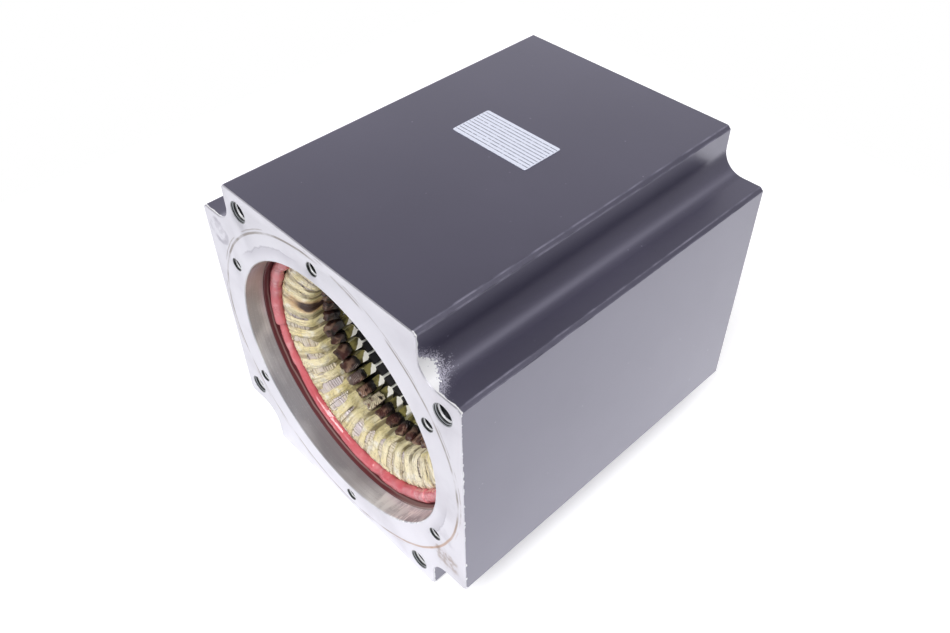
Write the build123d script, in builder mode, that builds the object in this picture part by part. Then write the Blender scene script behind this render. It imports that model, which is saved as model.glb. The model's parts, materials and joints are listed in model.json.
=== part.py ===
from build123d import *
import os
from math import atan2, cos, degrees, hypot, radians, sqrt, tan

# Electric motor stator: a notched square housing, open at both ends, with a slotted
# laminated core and a laced three-phase winding inside. Lengths are in millimetres.
# The motor axis lies along Y, the front face looks towards -Y and +Z is up.
# The origin is under the middle of the housing, on the side that it rests on.

# Housing
body_width = 200.0
body_length = 223.0
notch_size = 26.6
notch_fillet = 13.0
edge_chamfer = 1.9
register_wall = 20.0
register_depth = 12.0
register_step = 1.0

# Tapped holes in each end face, drawn at their core size: the rear taps are one size smaller
tap_sink_angle = 90.0
cover_hole_count = 6
cover_hole_margin = 9.0
cover_hole_radius = 3.4
rear_cover_hole_radius = 2.5
cover_hole_depth = 18.0
cover_hole_angle = 30.0
cover_sink_width = 0.7
flange_hole_count = 4
flange_hole_edge = 11.7
flange_hole_margin = 12.09
flange_hole_radius = 5.1
rear_flange_hole_radius = 4.25
flange_hole_depth = 24.0
flange_sink_width = 1.2

# Laminated core
core_length = 125.0
core_fit = 0.1
yoke_depth = 12.9
slot_depth = 19.0
pole_count = 4
phase_names = "uvw"
slots_per_belt = 3
tooth_share = 0.486
slot_opening = 1.7
lip_height = 1.1
lip_taper = 1.1

# Slot insulation
slot_fit = 0.05
liner_thickness = 0.4
liner_overhang = 6.0
wedge_thickness = 1.2
wedge_overhang = 4.0

# Coil sides and the knees where they leave the slots
coil_fit = 0.1
knee_clearance = 0.3
knee_gap = 2.2
knee_length = 9.4
knee_shoulder = 5.0
knee_flare = 2.7
knee_setback = 2.4
knee_thickness = 2.5
knee_chamfer = 1.0

# Winding heads, one laced ring at each end, between the knees and the frame bore
head_height = 25.0
head_chamfer = 5.0
head_gap = 0.3
group_gap = 0.3
lacing_fit = 0.1
lacing_thickness = 0.7
lacing_width = 5.4

# Sleeve of the phase leads, in the corner between the front winding head and the frame bore
sleeve_radius = 3.8
sleeve_fit = 0.2
sleeve_nest_share = 0.79

# Label on the top face
label_length = 53.4
label_width = 26.6
label_thickness = 0.3
label_corner = 2.0
label_setback = 128.3
label_offset = -1.7

# Derived sizes of the housing
axis_height = body_width / 2
register_radius = body_width / 2 - register_wall
frame_bore_radius = register_radius - register_step
cover_hole_circle_radius = register_radius + cover_hole_margin
flange_hole_far = body_width / 2 - flange_hole_edge
flange_hole_near = body_width / 2 - notch_size - flange_hole_margin
flange_hole_circle_radius = hypot(flange_hole_far, flange_hole_near)
flange_hole_angle = degrees(atan2(flange_hole_near, flange_hole_far))

# Derived sizes of the core and its slots
core_radius = frame_bore_radius - core_fit
slot_root_radius = core_radius - yoke_depth
core_bore_radius = slot_root_radius - slot_depth
belt_count = pole_count * len(phase_names)
slot_count = belt_count * slots_per_belt
slot_pitch = 360 / slot_count
belt_angle = slot_pitch * slots_per_belt
half_pitch = radians(slot_pitch / 2)
tooth_width = tooth_share * 2 * core_bore_radius * tan(half_pitch)
lip_radius = core_bore_radius + lip_height
shoulder_radius = lip_radius + lip_taper
wedge_inner_radius = shoulder_radius + slot_fit
wedge_outer_radius = wedge_inner_radius + wedge_thickness
liner_root_radius = slot_root_radius - slot_fit
liner_side_gap = slot_fit + liner_thickness
liner_reach = core_length / 2 + liner_overhang
wedge_reach = core_length / 2 + wedge_overhang

# Derived sizes of the winding
coil_inner_radius = wedge_outer_radius + coil_fit
coil_outer_radius = liner_root_radius - liner_thickness - coil_fit
knee_root_level = liner_reach + knee_clearance
coil_reach = knee_root_level + knee_chamfer / 2
knee_tip_level = coil_reach + knee_length
knee_inner_radius = core_bore_radius + knee_setback
knee_outer_radius = knee_inner_radius + knee_thickness
knee_width = 2 * knee_inner_radius * tan(half_pitch) - knee_gap
lacing_outset = lacing_fit + lacing_thickness
sleeve_ring_radius = frame_bore_radius - sleeve_fit - sleeve_radius
head_inner_radius = knee_outer_radius + head_gap + lacing_outset
head_outer_radius = frame_bore_radius - sleeve_fit - 2 * sleeve_radius * sleeve_nest_share - lacing_outset
head_radius = (head_inner_radius + head_outer_radius) / 2
head_width = head_outer_radius - head_inner_radius
head_level = coil_reach + head_gap + lacing_outset + head_height / 2
gap_angle = degrees(group_gap / head_radius)

# The sleeve rests a gap away from the slanted outer corner of the lacing
corner_line_sum = head_outer_radius + head_level + head_height / 2 - head_chamfer + sqrt(2) * lacing_outset
sleeve_level = corner_line_sum + sqrt(2) * (sleeve_radius + sleeve_fit) - sleeve_ring_radius

# Planes: the axis plane looks out of the front, from the middle of the motor axis.
# The rear end is the front end turned round about the upright.
axis_plane = Plane(origin=(0, 0, axis_height), x_dir=(1, 0, 0), z_dir=(0, -1, 0))
front_plane = axis_plane.offset(body_length / 2)
rear_plane = Plane(origin=(0, body_length / 2, axis_height), x_dir=(-1, 0, 0), z_dir=(0, 1, 0))
top_plane = Plane.XY.offset(body_width)

os.makedirs("parts", exist_ok=True)


def save(piece, name):
    """Label a finished piece and write it under its own name."""
    piece.part.label = name
    export_step(piece.part, f"parts/{name}.step")


def slot_half_width(radius):
    """Half the width of a slot at a radius, between two teeth with parallel sides."""
    return radius * tan(half_pitch) - tooth_width / (2 * cos(half_pitch))


def slot_band(inner_radius, outer_radius, side_gap):
    """The stretch of a slot between two radii, narrowed by a gap on each side."""
    inner_half = slot_half_width(inner_radius) - side_gap
    outer_half = slot_half_width(outer_radius) - side_gap
    with BuildSketch() as band:
        with BuildLine():
            Polyline(
                (inner_radius, -inner_half),
                (outer_radius, -outer_half),
                (outer_radius, outer_half),
                (inner_radius, inner_half),
                close=True,
            )
        make_face()
    return band.sketch


def head_section(outset):
    """The section of a winding head, with slanted corners, grown by an outset on every side."""
    corner_growth = outset * (2 - sqrt(2))
    with BuildSketch() as section:
        with Locations((head_radius, head_level)):
            Rectangle(head_width + 2 * outset, head_height + 2 * outset)
        chamfer(section.vertices(), head_chamfer + corner_growth)
    return section.sketch


# Housing: a notched square bar, bored through, with a register and tapped holes at each end
with BuildPart() as housing:
    with BuildSketch(front_plane) as body_section:
        Rectangle(body_width, body_width)
        with GridLocations(body_width - notch_size, body_width - notch_size, 2, 2):
            Rectangle(notch_size, notch_size, mode=Mode.SUBTRACT)
        inner_corners = body_section.vertices().sort_by_distance((0, 0, 0))[:4]
        fillet(inner_corners, notch_fillet)
        outer_corners = body_section.vertices().sort_by_distance((0, 0, 0))[-8:]
        chamfer(outer_corners, edge_chamfer)
    extrude(amount=-body_length)
    with BuildSketch(front_plane):
        Circle(frame_bore_radius)
    extrude(amount=-body_length, mode=Mode.SUBTRACT)
    for end_plane, cover_tap, flange_tap in (
        (front_plane, cover_hole_radius, flange_hole_radius),
        (rear_plane, rear_cover_hole_radius, rear_flange_hole_radius),
    ):
        with BuildSketch(end_plane):
            Circle(register_radius)
        extrude(amount=-register_depth, mode=Mode.SUBTRACT)
        with Locations(end_plane):
            with PolarLocations(cover_hole_circle_radius, cover_hole_count, start_angle=cover_hole_angle):
                CounterSinkHole(
                    radius=cover_tap,
                    counter_sink_radius=cover_tap + cover_sink_width,
                    depth=cover_hole_depth,
                    counter_sink_angle=tap_sink_angle,
                )
            with PolarLocations(flange_hole_circle_radius, flange_hole_count, start_angle=flange_hole_angle):
                CounterSinkHole(
                    radius=flange_tap,
                    counter_sink_radius=flange_tap + flange_sink_width,
                    depth=flange_hole_depth,
                    counter_sink_angle=tap_sink_angle,
                )
save(housing, "housing")

# Laminated core: a ring with semi-closed slots between parallel teeth
with BuildSketch() as slot_cut:
    add(slot_band(shoulder_radius, slot_root_radius, 0))
    with BuildLine():
        Polyline(
            (0, -slot_opening / 2),
            (lip_radius, -slot_opening / 2),
            (shoulder_radius, -slot_half_width(shoulder_radius)),
            (shoulder_radius, slot_half_width(shoulder_radius)),
            (lip_radius, slot_opening / 2),
            (0, slot_opening / 2),
            close=True,
        )
    make_face()

with BuildPart() as core_stack:
    with BuildSketch(axis_plane.offset(-core_length / 2)):
        Circle(core_radius)
        Circle(core_bore_radius, mode=Mode.SUBTRACT)
        with PolarLocations(0, slot_count):
            add(slot_cut.sketch, mode=Mode.SUBTRACT)
    extrude(amount=core_length)
save(core_stack, "core_stack")

# Slot liners: a U of insulating paper in each slot, standing out past the core at both ends
with BuildSketch() as liner_section:
    add(slot_band(wedge_inner_radius, liner_root_radius, slot_fit))
    add(
        slot_band(wedge_inner_radius, liner_root_radius - liner_thickness, liner_side_gap),
        mode=Mode.SUBTRACT,
    )

with BuildPart() as slot_liners:
    with BuildSketch(axis_plane.offset(-liner_reach)):
        with PolarLocations(0, slot_count):
            add(liner_section.sketch)
    extrude(amount=2 * liner_reach)
save(slot_liners, "slot_liners")

# Slot wedges: the closing strips behind the slot openings
with BuildPart() as slot_wedges:
    with BuildSketch(axis_plane.offset(-wedge_reach)):
        with PolarLocations(0, slot_count):
            add(slot_band(wedge_inner_radius, wedge_outer_radius, liner_side_gap + slot_fit))
    extrude(amount=2 * wedge_reach)
save(slot_wedges, "slot_wedges")

# One coil side: the straight bundle in a slot, with a knee at each end beside the winding head
with BuildPart() as coil_side:
    with BuildSketch(Plane.XY.offset(-coil_reach)):
        add(slot_band(coil_inner_radius, coil_outer_radius, liner_side_gap + coil_fit))
    extrude(amount=2 * coil_reach)
    with BuildSketch(Plane.XZ):
        with BuildLine():
            Polyline(
                (knee_inner_radius + knee_chamfer, knee_root_level),
                (knee_inner_radius, knee_root_level + knee_chamfer),
                (knee_inner_radius, knee_tip_level - knee_chamfer),
                (knee_inner_radius + knee_chamfer, knee_tip_level),
                (knee_outer_radius, knee_tip_level),
                (knee_outer_radius, knee_root_level + knee_shoulder),
                (knee_outer_radius + knee_flare, knee_root_level + knee_chamfer),
                (knee_outer_radius + knee_flare, knee_root_level),
                close=True,
            )
        make_face()
    extrude(amount=knee_width / 2, both=True)
    mirror(about=Plane.XY)

# Coil sides of each phase, in belts of neighbouring slots, one belt to a pole
for phase_index, phase_name in enumerate(phase_names):
    first_slot = phase_index * slots_per_belt
    with BuildPart(axis_plane) as phase_sides:
        for slot_index in range(first_slot, first_slot + slots_per_belt):
            with PolarLocations(0, pole_count, start_angle=slot_index * slot_pitch):
                add(coil_side.part)
    save(phase_sides, f"coil_sides_{phase_name}")

# Winding heads: the end turns of one coil group for each phase and pole, at both ends
with BuildPart() as group_turns:
    with BuildSketch(Plane.XZ):
        add(head_section(0))
    revolve(axis=Axis.Z, revolution_arc=belt_angle - gap_angle)

for belt_index in range(belt_count):
    phase_name = phase_names[belt_index % len(phase_names)]
    group_name = f"{phase_name}{belt_index // len(phase_names) + 1}"
    start_angle = belt_index * belt_angle - (slot_pitch - gap_angle) / 2
    with BuildPart(axis_plane) as front_turns:
        with PolarLocations(0, 1, start_angle=start_angle):
            add(group_turns.part)
    save(front_turns, f"front_end_turns_{group_name}")
    with BuildPart() as rear_turns:
        mirror(front_turns.part, about=Plane.XZ)
    save(rear_turns, f"rear_end_turns_{group_name}")

# Lacing: a tape loop round each winding head, one beside every slot
with BuildPart() as lacing_loop:
    with BuildSketch(Plane.XZ):
        add(head_section(lacing_outset))
        add(head_section(lacing_fit), mode=Mode.SUBTRACT)
    extrude(amount=lacing_width / 2, both=True)

with BuildPart(axis_plane) as front_lacing:
    with PolarLocations(0, slot_count):
        add(lacing_loop.part)
save(front_lacing, "front_lacing")

with BuildPart() as rear_lacing:
    mirror(front_lacing.part, about=Plane.XZ)
save(rear_lacing, "rear_lacing")

# Lead sleeve: a ring of sleeving that lies on the front head
with BuildPart() as sleeve_ring:
    with BuildSketch(Plane.XZ):
        with Locations((sleeve_ring_radius, sleeve_level)):
            Circle(sleeve_radius)
    revolve(axis=Axis.Z)

with BuildPart(axis_plane) as lead_sleeve:
    with PolarLocations(0, 1):
        add(sleeve_ring.part)
save(lead_sleeve, "lead_sleeve")

# Label: a thin rounded sheet on the top face
with BuildPart() as rating_label:
    with BuildSketch(top_plane):
        with Locations((label_offset, label_setback - body_length / 2)):
            RectangleRounded(label_length, label_width, label_corner)
    extrude(amount=label_thickness)
save(rating_label, "rating_label")
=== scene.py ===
"""Electric motor stator: wire, lacing, sleeving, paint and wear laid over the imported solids."""

import json
import logging
import math
from dataclasses import dataclass, field
from enum import Enum, IntEnum
from typing import Iterable, Sequence, Union

import bmesh
import bpy
import numpy as np
from mathutils import Matrix, Vector
from mathutils.geometry import delaunay_2d_cdt


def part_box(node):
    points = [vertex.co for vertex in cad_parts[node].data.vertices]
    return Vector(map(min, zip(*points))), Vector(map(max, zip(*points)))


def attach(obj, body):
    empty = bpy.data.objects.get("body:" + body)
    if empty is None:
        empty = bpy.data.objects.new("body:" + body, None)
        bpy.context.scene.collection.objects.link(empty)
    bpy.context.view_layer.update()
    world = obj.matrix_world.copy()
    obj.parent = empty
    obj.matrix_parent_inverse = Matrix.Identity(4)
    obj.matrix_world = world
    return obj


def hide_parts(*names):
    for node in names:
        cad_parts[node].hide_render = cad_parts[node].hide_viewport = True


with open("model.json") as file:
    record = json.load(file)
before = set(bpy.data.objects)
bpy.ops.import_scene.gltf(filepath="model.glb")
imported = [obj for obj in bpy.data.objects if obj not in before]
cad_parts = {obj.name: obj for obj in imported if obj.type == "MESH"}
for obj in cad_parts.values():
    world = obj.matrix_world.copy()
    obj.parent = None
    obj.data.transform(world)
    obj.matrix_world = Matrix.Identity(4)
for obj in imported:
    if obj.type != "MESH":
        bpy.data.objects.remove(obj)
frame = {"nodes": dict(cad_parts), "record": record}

LOG = logging.getLogger("stator")
MM = 0.001
BODY = "root"
TURN = 2.0 * math.pi
SLOT_COUNT = 36
SLOT_STEP = TURN / SLOT_COUNT
SLOTS_PER_GROUP = 3
PHASES = "uvw"
FRONT_FADE = (60.0, 50.0)
WELD = 0.002 * MM
SHARP_TURN = math.radians(38.0)
CUT_GAP = 1e-9

Colour = tuple[float, float, float, float]
Span = tuple[float, float]
WHITE: Colour = (1.0, 1.0, 1.0, 1.0)
BLACK: Colour = (0.0, 0.0, 0.0, 1.0)


class End(Enum):
    """The two ends of the motor, by the sign of Y."""

    FRONT = -1
    REAR = 1

    @property
    def word(self) -> str:
        """The end's name as the nodes spell it."""
        return self.name.lower()


def srgb(red: float, green: float, blue: float) -> Colour:
    """Turn a display colour into the linear colour that shaders take.

    Args:
        red: Red, 0 to 255.
        green: Green, 0 to 255.
        blue: Blue, 0 to 255.

    Returns:
        The linear colour with full opacity.
    """
    shares = [part / 255.0 for part in (red, green, blue)]
    linear = [s / 12.92 if s <= 0.04045 else ((s + 0.055) / 1.055) ** 2.4 for s in shares]
    return (linear[0], linear[1], linear[2], 1.0)


def mount_size(name: str, size: str) -> float:
    """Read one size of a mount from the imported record.

    Args:
        name: The mount's name.
        size: The size's name in the mount's dims, in millimetres.

    Returns:
        The size in metres.
    """
    mount = next(m for m in frame["record"]["mounts"] if m["name"] == name)
    return mount["dims"][size] * MM


HOUSING_LOW, HOUSING_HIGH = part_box("housing")
AXIS_HEIGHT = (HOUSING_LOW.z + HOUSING_HIGH.z) / 2
HALF_LENGTH = (HOUSING_HIGH.y - HOUSING_LOW.y) / 2
HALF_WIDTH = (HOUSING_HIGH.x - HOUSING_LOW.x) / 2
REGISTER_RADIUS = mount_size("front_register", "r_mm")
REGISTER_DEPTH = mount_size("front_register", "length_mm")
CORE_REACH = mount_size("rotor_bore", "length_mm") / 2


def around(radius: np.ndarray, angle: np.ndarray, level: np.ndarray, end: End = End.FRONT) -> np.ndarray:
    """Place points about the motor axis.

    Args:
        radius: Distance from the axis.
        angle: Angle from +X towards +Z, in radians.
        level: Distance from the middle of the motor towards the end.
        end: The end that levels count towards.

    Returns:
        An array of points, with the coordinates last.
    """
    across, up = radius * np.cos(angle), AXIS_HEIGHT + radius * np.sin(angle)
    return np.stack(np.broadcast_arrays(across, end.value * level, up), axis=-1)


def turns_of(count: int) -> np.ndarray:
    """Angles that share a full turn evenly."""
    return np.arange(count) * TURN / count


def circle(count: int) -> np.ndarray:
    """A unit circle of points, as (points, 2)."""
    turns = turns_of(count)
    return np.stack((np.cos(turns), np.sin(turns)), axis=1)


def heading(degrees: float) -> np.ndarray:
    """The unit vector at an angle from +X, as (2,)."""
    turn = math.radians(degrees)
    return np.array((math.cos(turn), math.sin(turn)))


class Ripple:
    """Smooth seeded waviness, a sum of sines over its coordinates, about -1 to 1."""

    WAVES = 7
    PITCH_SPREAD = (0.6, 1.6)
    GAIN = 1.7

    def __init__(self, seed: int, dims: int, pitch: float) -> None:
        """Draw the waves.

        Args:
            seed: Seed of the draw.
            dims: Number of coordinates.
            pitch: Typical wave length, in the coordinates' unit.
        """
        draw = np.random.default_rng(seed)
        ways = draw.normal(size=(self.WAVES, dims))
        ways /= np.linalg.norm(ways, axis=1, keepdims=True)
        self.rates = ways * TURN / (pitch * draw.uniform(*self.PITCH_SPREAD, (self.WAVES, 1)))
        self.phases = draw.uniform(0, TURN, self.WAVES)

    def __call__(self, *coords: np.ndarray) -> np.ndarray:
        """Give the waviness at points.

        Args:
            coords: One array per coordinate.

        Returns:
            The waviness, in the broadcast shape of the coordinates.
        """
        spots = np.stack(np.broadcast_arrays(*coords), axis=-1)
        return np.sin(spots @ self.rates.T + self.phases).mean(axis=-1) * self.GAIN


class Shell:
    """Gathers the faces of one piece and makes its mesh object."""

    def __init__(self) -> None:
        """Start with no faces."""
        self.points: list[np.ndarray] = []
        self.faces: list[list[int]] = []
        self.skins: list[int] = []
        self.count = 0

    def keep(self, points: np.ndarray) -> int:
        """Keep points.

        Args:
            points: The points, with the coordinates last.

        Returns:
            The index of the first.
        """
        start = self.count
        flat = np.asarray(points, dtype=float).reshape(-1, 3)
        self.points.append(flat)
        self.count += len(flat)
        return start

    def grid(self, rows: np.ndarray, loop_u: bool = False, loop_v: bool = False, skin: int = 0) -> None:
        """Add a sheet of quads.

        Args:
            rows: Points as (u, v, 3).
            loop_u: Whether the last row joins the first.
            loop_v: Whether the last column joins the first.
            skin: Index of the finish.
        """
        n_u, n_v = rows.shape[:2]
        start = self.keep(rows)
        u, v = np.meshgrid(np.arange(n_u - (not loop_u)), np.arange(n_v - (not loop_v)), indexing="ij")
        u, v = u.ravel(), v.ravel()
        row, next_row = u * n_v + start, (u + 1) % n_u * n_v + start
        next_v = (v + 1) % n_v
        quads = np.stack((row + v, next_row + v, next_row + next_v, row + next_v), axis=1)
        self.faces.extend(quads.tolist())
        self.skins.extend([skin] * len(quads))

    def cap(self, ring: np.ndarray, skin: int = 0) -> None:
        """Close a ring with one face.

        Args:
            ring: Its points, as (points, 3).
            skin: Index of the finish.
        """
        start = self.keep(ring)
        self.faces.append(list(range(start, start + len(ring))))
        self.skins.append(skin)

    def tube(self, rings: np.ndarray, skin: int = 0) -> None:
        """Add a tube with both ends capped.

        Args:
            rings: Its closed rings, as (rings, points, 3).
            skin: Index of the finish.
        """
        self.grid(rings, loop_v=True, skin=skin)
        self.cap(rings[0], skin)
        self.cap(rings[-1], skin)

    def sheet(self, points: np.ndarray, faces: Iterable[Sequence[int]], skin: int = 0) -> None:
        """Add loose faces over their own points.

        Args:
            points: The points, as (points, 3).
            faces: Indices of each face's points.
            skin: Index of the finish.
        """
        start = self.keep(points)
        loose = [[index + start for index in face] for face in faces]
        self.faces.extend(loose)
        self.skins.extend([skin] * len(loose))

    def piece(self, name: str, finishes: Sequence[bpy.types.Material]) -> bpy.types.Object:
        """Make the mesh object.

        Args:
            name: Name of the piece.
            finishes: Materials, by skin index.

        Returns:
            The object, linked to the scene.
        """
        mesh = bpy.data.meshes.new(name)
        mesh.from_pydata(np.concatenate(self.points).tolist(), [], self.faces)
        mesh.polygons.foreach_set("material_index", self.skins)
        for finish in finishes:
            mesh.materials.append(finish)
        work = bmesh.new()
        work.from_mesh(mesh)
        bmesh.ops.remove_doubles(work, verts=work.verts, dist=WELD)
        bmesh.ops.recalc_face_normals(work, faces=work.faces)
        work.to_mesh(mesh)
        work.free()
        mesh.shade_smooth()
        mesh.set_sharp_from_angle(angle=SHARP_TURN)
        made = bpy.data.objects.new(name, mesh)
        bpy.context.collection.objects.link(made)
        return made


def settle(piece: bpy.types.Object, slot: str, *nodes: str) -> None:
    """Tie a piece to the frame.

    Args:
        piece: The piece.
        slot: The record's material slot; not used.
        nodes: The nodes that it stands for.
    """
    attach(piece, BODY)
    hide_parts(*nodes)
    LOG.info("%s: %d faces", piece.name, len(piece.data.polygons))


class Value:
    """A number in a shader. Python's operators on it add Math nodes."""

    def __init__(self, bench: "NodeBench", socket: bpy.types.NodeSocket) -> None:
        """Wrap an output socket of a bench's tree."""
        self.bench = bench
        self.socket = socket

    def __add__(self, other: "Term") -> "Value":
        """Add."""
        return self.bench.math("ADD", self, other)

    __radd__ = __add__

    def __mul__(self, other: "Term") -> "Value":
        """Multiply."""
        return self.bench.math("MULTIPLY", self, other)

    __rmul__ = __mul__

    def __sub__(self, other: "Term") -> "Value":
        """Subtract."""
        return self.bench.math("SUBTRACT", self, other)

    def __rsub__(self, other: "Term") -> "Value":
        """Subtract from a number."""
        return self.bench.math("SUBTRACT", other, self)

    def __truediv__(self, other: "Term") -> "Value":
        """Divide."""
        return self.bench.math("DIVIDE", self, other)

    def __rtruediv__(self, other: "Term") -> "Value":
        """Divide a number by it."""
        return self.bench.math("DIVIDE", other, self)

    def __pow__(self, other: "Term") -> "Value":
        """Raise to a power."""
        return self.bench.math("POWER", self, other)

    def __abs__(self) -> "Value":
        """Take the size without the sign."""
        return self.bench.math("ABSOLUTE", self)

    def most(self, other: "Term") -> "Value":
        """The larger of two."""
        return self.bench.math("MAXIMUM", self, other)

    def least(self, other: "Term") -> "Value":
        """The smaller of two."""
        return self.bench.math("MINIMUM", self, other)

    def sine(self) -> "Value":
        """The sine of an angle in radians."""
        return self.bench.math("SINE", self)

    def saw(self) -> "Value":
        """The fraction past the whole number."""
        return self.bench.math("FRACT", self)

    def step(self, start: float, stop: float) -> "Value":
        """Rise softly from 0 to 1.

        Args:
            start: Where it is 0.
            stop: Where it is 1, the smaller of the two for a fall.

        Returns:
            The share.
        """
        made = self.bench.node(
            "ShaderNodeMapRange",
            {"interpolation_type": "SMOOTHSTEP"},
            {"Value": self, "From Min": start, "From Max": stop},
        )
        return Value(self.bench, made.outputs["Result"])

    def window(self, middle: float, rise: Span, fall: Span) -> "Value":
        """Rise from 0 to 1 and fall again, by offsets from a middle.

        Args:
            middle: What the offsets count from.
            rise: Where the rise starts and ends.
            fall: Where the fall ends and starts.

        Returns:
            The share.
        """
        off = self - middle
        return off.step(*rise) * off.step(*fall)


Term = Union[Value, float, int]
Tint = Union[Colour, bpy.types.NodeSocket]


class NodeBench:
    """Adds nodes to one node tree."""

    def __init__(self, tree: bpy.types.NodeTree) -> None:
        """Clear a tree to work on."""
        self.tree = tree
        self.tree.nodes.clear()

    def node(
        self,
        kind: str,
        settings: dict[str, object] | None = None,
        sockets: dict[str | int, object] | None = None,
    ) -> bpy.types.Node:
        """Add a node.

        Args:
            kind: The node's type.
            settings: Its properties, set first.
            sockets: Values or links of its inputs, by name or index.

        Returns:
            The node.
        """
        made = self.tree.nodes.new(kind)
        for key, setting in (settings or {}).items():
            setattr(made, key, setting)
        for key, value in (sockets or {}).items():
            self.feed(made.inputs[key], value)
        return made

    def feed(self, entry: bpy.types.NodeSocket, value: object) -> None:
        """Link a socket or set its value.

        Args:
            entry: The input socket.
            value: A socket or wrapped socket to link, or a plain value to set.
        """
        source = value.socket if isinstance(value, Value) else value
        if isinstance(source, bpy.types.NodeSocket):
            self.tree.links.new(source, entry)
        else:
            entry.default_value = source

    def math(self, operation: str, *terms: Term) -> Value:
        """Add a Math node."""
        made = self.node("ShaderNodeMath", {"operation": operation}, dict(enumerate(terms)))
        return Value(self, made.outputs[0])

    def mix(self, share: Term, first: Tint, second: Tint) -> bpy.types.NodeSocket:
        """Mix two colours, all second where the share is 1."""
        made = self.node("ShaderNodeMix", {"data_type": "RGBA"}, {0: share, 6: first, 7: second})
        return made.outputs[2]

    def parts(self, vector: bpy.types.NodeSocket) -> tuple[Value, Value, Value]:
        """Split a vector into its three values."""
        x, y, z = self.node("ShaderNodeSeparateXYZ", {}, {"Vector": vector}).outputs
        return Value(self, x), Value(self, y), Value(self, z)


class Bench(NodeBench):
    """One material's nodes, round a Principled shader."""

    def __init__(self, name: str, colour: Colour) -> None:
        """Make a material of one colour with its shader and output.

        Args:
            name: Name of the material.
            colour: The colour that the others are laid over.
        """
        self.material = bpy.data.materials.new(name)
        self.material.use_nodes = True
        super().__init__(self.material.node_tree)
        self.shader = self.node("ShaderNodeBsdfPrincipled")
        self.node("ShaderNodeOutputMaterial", {}, {"Surface": self.shader.outputs["BSDF"]})
        self.where = self.node("ShaderNodeTexCoord").outputs["Object"]
        self.tone: Tint = colour
        self.paint({"Base Color": colour})

    def place(self) -> tuple[Value, Value, Value]:
        """Give the spot in millimetres: across, behind the front face, and above the motor axis."""
        across, along, up = self.parts(self.where)
        return across / MM, (along + HALF_LENGTH) / MM, (up - AXIS_HEIGHT) / MM

    def polar(self) -> tuple[Value, Value, Value]:
        """Give the spot round the motor axis.

        Returns:
            Radius in millimetres, angle in radians, and millimetres behind the front face.
        """
        across, depth, up = self.place()
        radius = self.math("SQRT", across * across + up * up)
        return radius, self.math("ARCTAN2", up, across), depth

    def near_end(self) -> Value:
        """Give the millimetres behind the nearer end face."""
        depth = self.place()[1]
        return depth.least(2.0 * HALF_LENGTH / MM - depth)

    def front(self) -> Value:
        """Give 1 at the front end, up to the core, and 0 further in."""
        return self.place()[1].step(*FRONT_FADE)

    def away(self, spot: Span) -> Value:
        """Give the millimetres to a spot that lies across and above the motor axis."""
        across, _, up = self.place()
        return self.math("SQRT", (across - spot[0]) ** 2.0 + (up - spot[1]) ** 2.0)

    def facing(self) -> tuple[Value, Value, Value]:
        """Give the parts of the surface's outward direction."""
        return self.parts(self.node("ShaderNodeNewGeometry").outputs["Normal"])

    def vector(self, x: Term, y: Term, z: Term) -> bpy.types.NodeSocket:
        """Join three values as a vector."""
        return self.node("ShaderNodeCombineXYZ", {}, {"X": x, "Y": y, "Z": z}).outputs[0]

    def noise(self, scale: float, detail: float = 2.0, where: bpy.types.NodeSocket | None = None) -> Value:
        """Soft noise from 0 to 1.

        Args:
            scale: Features per unit of the coordinates.
            detail: Octaves added.
            where: Coordinates, the object's own in metres where not given.

        Returns:
            The noise.
        """
        sockets = {"Vector": where or self.where, "Scale": scale, "Detail": detail}
        return Value(self, self.node("ShaderNodeTexNoise", {}, sockets).outputs[0])

    def cells(self, scale: float) -> Value:
        """Distance to the nearest of scattered points, in cell widths."""
        sockets = {"Vector": self.where, "Scale": scale}
        return Value(self, self.node("ShaderNodeTexVoronoi", {}, sockets).outputs["Distance"])

    def lay(self, share: Term, colour: Tint) -> None:
        """Lay a colour over the surface, all of it where the share is 1."""
        self.tone = self.mix(share, self.tone, colour)
        self.paint({"Base Color": self.tone})

    def bump(self, height: Value, distance: float) -> None:
        """Tilt the shading by a height, with the distance in metres that a height of 1 stands for."""
        made = self.node("ShaderNodeBump", {}, {"Height": height, "Distance": distance, "Strength": 1.0})
        self.paint({"Normal": made.outputs[0]})

    def paper_grain(self) -> None:
        """Tilt the shading as on felted paper."""
        self.bump(self.noise(1300.0, 3.0) + 0.6 * self.noise(300.0), 0.06 * MM)

    def paint(self, sockets: dict[str, object]) -> bpy.types.Material:
        """Feed the shader's sockets.

        Args:
            sockets: Values or links, by socket name.

        Returns:
            The material.
        """
        for key, value in sockets.items():
            self.feed(self.shader.inputs[key], value)
        return self.material


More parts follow.
